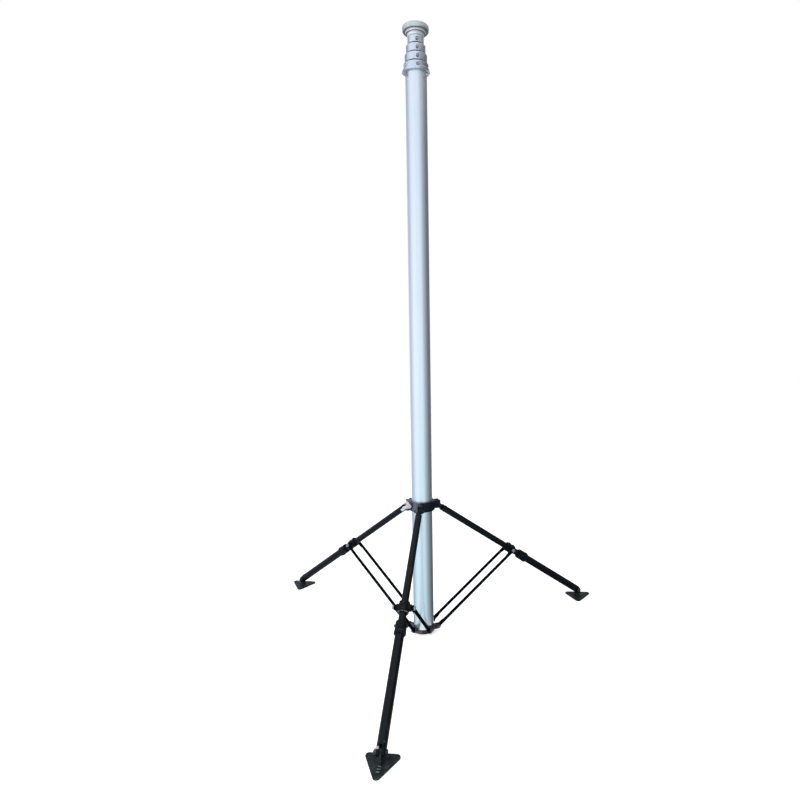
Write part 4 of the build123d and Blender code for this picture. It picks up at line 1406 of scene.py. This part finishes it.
class MastColours(bpy.types.PropertyGroup):
    """Colours of the finishes."""

    tube_light: tone("Tube", "Outer tube where it is clean", (0.90, 0.92, 0.94))
    tube_shade: tone("Tube shade", "Outer tube where it has dulled", (0.86, 0.885, 0.91))
    collar_light: tone("Collar", "Turned collars where they are clean", (0.83, 0.85, 0.90))
    collar_shade: tone("Collar shade", "Turned collars where they have dulled", (0.75, 0.77, 0.81))
    cap_light: tone("Head", "Mast head", (0.66, 0.67, 0.665))
    # The head's underside colour is painted shade.
    cap_dark: tone("Head shade", "Underside of the mast head", (0.17, 0.175, 0.185))
    coat: tone("Coat", "Black coat on the castings", (0.0030, 0.0042, 0.0054))
    coat_dust: tone("Dust", "Dust and scuffs on the black coat", (0.040, 0.042, 0.045))
    leg: tone("Leg tubes", "Black leg tubes and struts", (0.0026, 0.0036, 0.0046))


class MastSizes(bpy.types.PropertyGroup):
    """Sizes that only the looks use, in millimetres."""

    groove_height: FloatProperty(
        name="Groove height",
        description="Middle of the turned groove near the outer tube's foot, in mm",
        default=28.5, min=20.0, max=60.0)
    # The buffer ring's black band is also painted shade in the joint between collars.
    buffer_height: FloatProperty(
        name="Buffer ring", description="Height of the rubber ring under each sliding collar, in mm",
        default=5.2, min=1.0, max=10.0)
    bolt_flats: FloatProperty(
        name="Bolt size", description="Across the flats of the hexagon heads, in mm",
        default=13.4, min=8.0, max=17.0)
    washer: FloatProperty(
        name="Washer", description="Diameter of the washers, in mm", default=16.0, min=10.0, max=18.0)


class MastStage(bpy.types.PropertyGroup):
    """Light on the object."""

    lamp_power: FloatProperty(
        name="Lamps", description="Power of the main lamp, in watts", default=150.0, min=0.0, max=2000.0)
    sky_strength: FloatProperty(
        name="Sky", description="Strength of the light from all round", default=0.55, min=0.0, max=2.0)
    wall_strength: FloatProperty(
        name="Wall", description="Strength of the studio wall in reflections",
        default=1.09, min=0.0, max=3.0)
    floor_glow: FloatProperty(
        name="Floor glow", description="Light added to the floor so that it reads as plain white",
        default=0.5, min=0.0, max=1.0)


class MastOperator(bpy.types.Operator):
    """Base of the operators: runs its makers in order."""

    bl_options = {"REGISTER", "UNDO"}
    makers = ()

    def execute(self, _context):
        for maker in self.makers:
            maker()
        return {"FINISHED"}


class MAST_OT_tubes(MastOperator):
    """Make the outer tube and the tubes nested in it"""

    bl_idname = "mast.tubes"
    bl_label = "Tubes"
    makers = (make_outer_tube, make_inner_tubes)


class MAST_OT_base(MastOperator):
    """Make the base plug, its ring of forks and their bolts"""

    bl_idname = "mast.base"
    bl_label = "Base"
    makers = (make_base, make_base_bolts)


class MAST_OT_collars(MastOperator):
    """Make the turned collars with their black buffer rings, also painted joint shade, and lock screws
    """

    bl_idname = "mast.collars"
    bl_label = "Collars"
    makers = (make_collars, make_lock_screws)


class MAST_OT_head(MastOperator):
    """Make the mast head"""

    bl_idname = "mast.head"
    bl_label = "Head"
    makers = (make_head,)


class MAST_OT_guy_ring(MastOperator):
    """Make the ring that the guys hook to"""

    bl_idname = "mast.guy_ring"
    bl_label = "Guy ring"
    makers = (make_guy_ring,)


class MAST_OT_hub(MastOperator):
    """Make the sliding hub with its clamp lever and pivot bolts"""

    bl_idname = "mast.hub"
    bl_label = "Hub"
    makers = (make_hub,)


class MAST_OT_legs(MastOperator):
    """Make the upper legs with their eyes and knee clamps"""

    bl_idname = "mast.legs"
    bl_label = "Upper legs"
    makers = (make_legs,)


class MAST_OT_shins(MastOperator):
    """Make the lower legs with their lock sleeves and ankles"""

    bl_idname = "mast.shins"
    bl_label = "Lower legs"
    makers = (make_shins,)


class MAST_OT_struts(MastOperator):
    """Make the pairs of struts"""

    bl_idname = "mast.struts"
    bl_label = "Struts"
    makers = (make_struts,)


class MAST_OT_feet(MastOperator):
    """Make the feet with their ankle bolts"""

    bl_idname = "mast.feet"
    bl_label = "Feet"
    makers = (make_feet,)


class MAST_OT_stage(MastOperator):
    """Make the floor, the studio light and the camera"""

    bl_idname = "mast.stage"
    bl_label = "Stage"
    makers = (make_stage,)


OPERATORS = (
    MAST_OT_tubes, MAST_OT_base, MAST_OT_collars, MAST_OT_head, MAST_OT_guy_ring, MAST_OT_hub,
    MAST_OT_legs, MAST_OT_shins, MAST_OT_struts, MAST_OT_feet, MAST_OT_stage,
)


class MAST_PT_panel(bpy.types.Panel):
    """Sizes, colours and the pieces in order."""

    bl_idname = "MAST_PT_panel"
    bl_label = "Telescopic Mast"
    bl_space_type = "VIEW_3D"
    bl_region_type = "UI"
    bl_category = "Mast"

    def draw(self, context):
        layout = self.layout
        for group in (context.scene.mast_sizes, context.scene.mast_colours, context.scene.mast_stage):
            box = layout.box()
            for name in group.__annotations__:
                box.prop(group, name)
        for operator in OPERATORS:
            layout.operator(operator.bl_idname)


CLASSES = (MastColours, MastSizes, MastStage, *OPERATORS, MAST_PT_panel)


def register():
    for item in CLASSES:
        bpy.utils.register_class(item)
    bpy.types.Scene.mast_colours = PointerProperty(type=MastColours)
    bpy.types.Scene.mast_sizes = PointerProperty(type=MastSizes)
    bpy.types.Scene.mast_stage = PointerProperty(type=MastStage)


def unregister():
    del bpy.types.Scene.mast_stage
    del bpy.types.Scene.mast_sizes
    del bpy.types.Scene.mast_colours
    for item in reversed(CLASSES):
        bpy.utils.unregister_class(item)


def main():
    register()
    for operator in OPERATORS:
        group, name = operator.bl_idname.split(".")
        getattr(getattr(bpy.ops, group), name)()


if __name__ == "__main__":
    main()
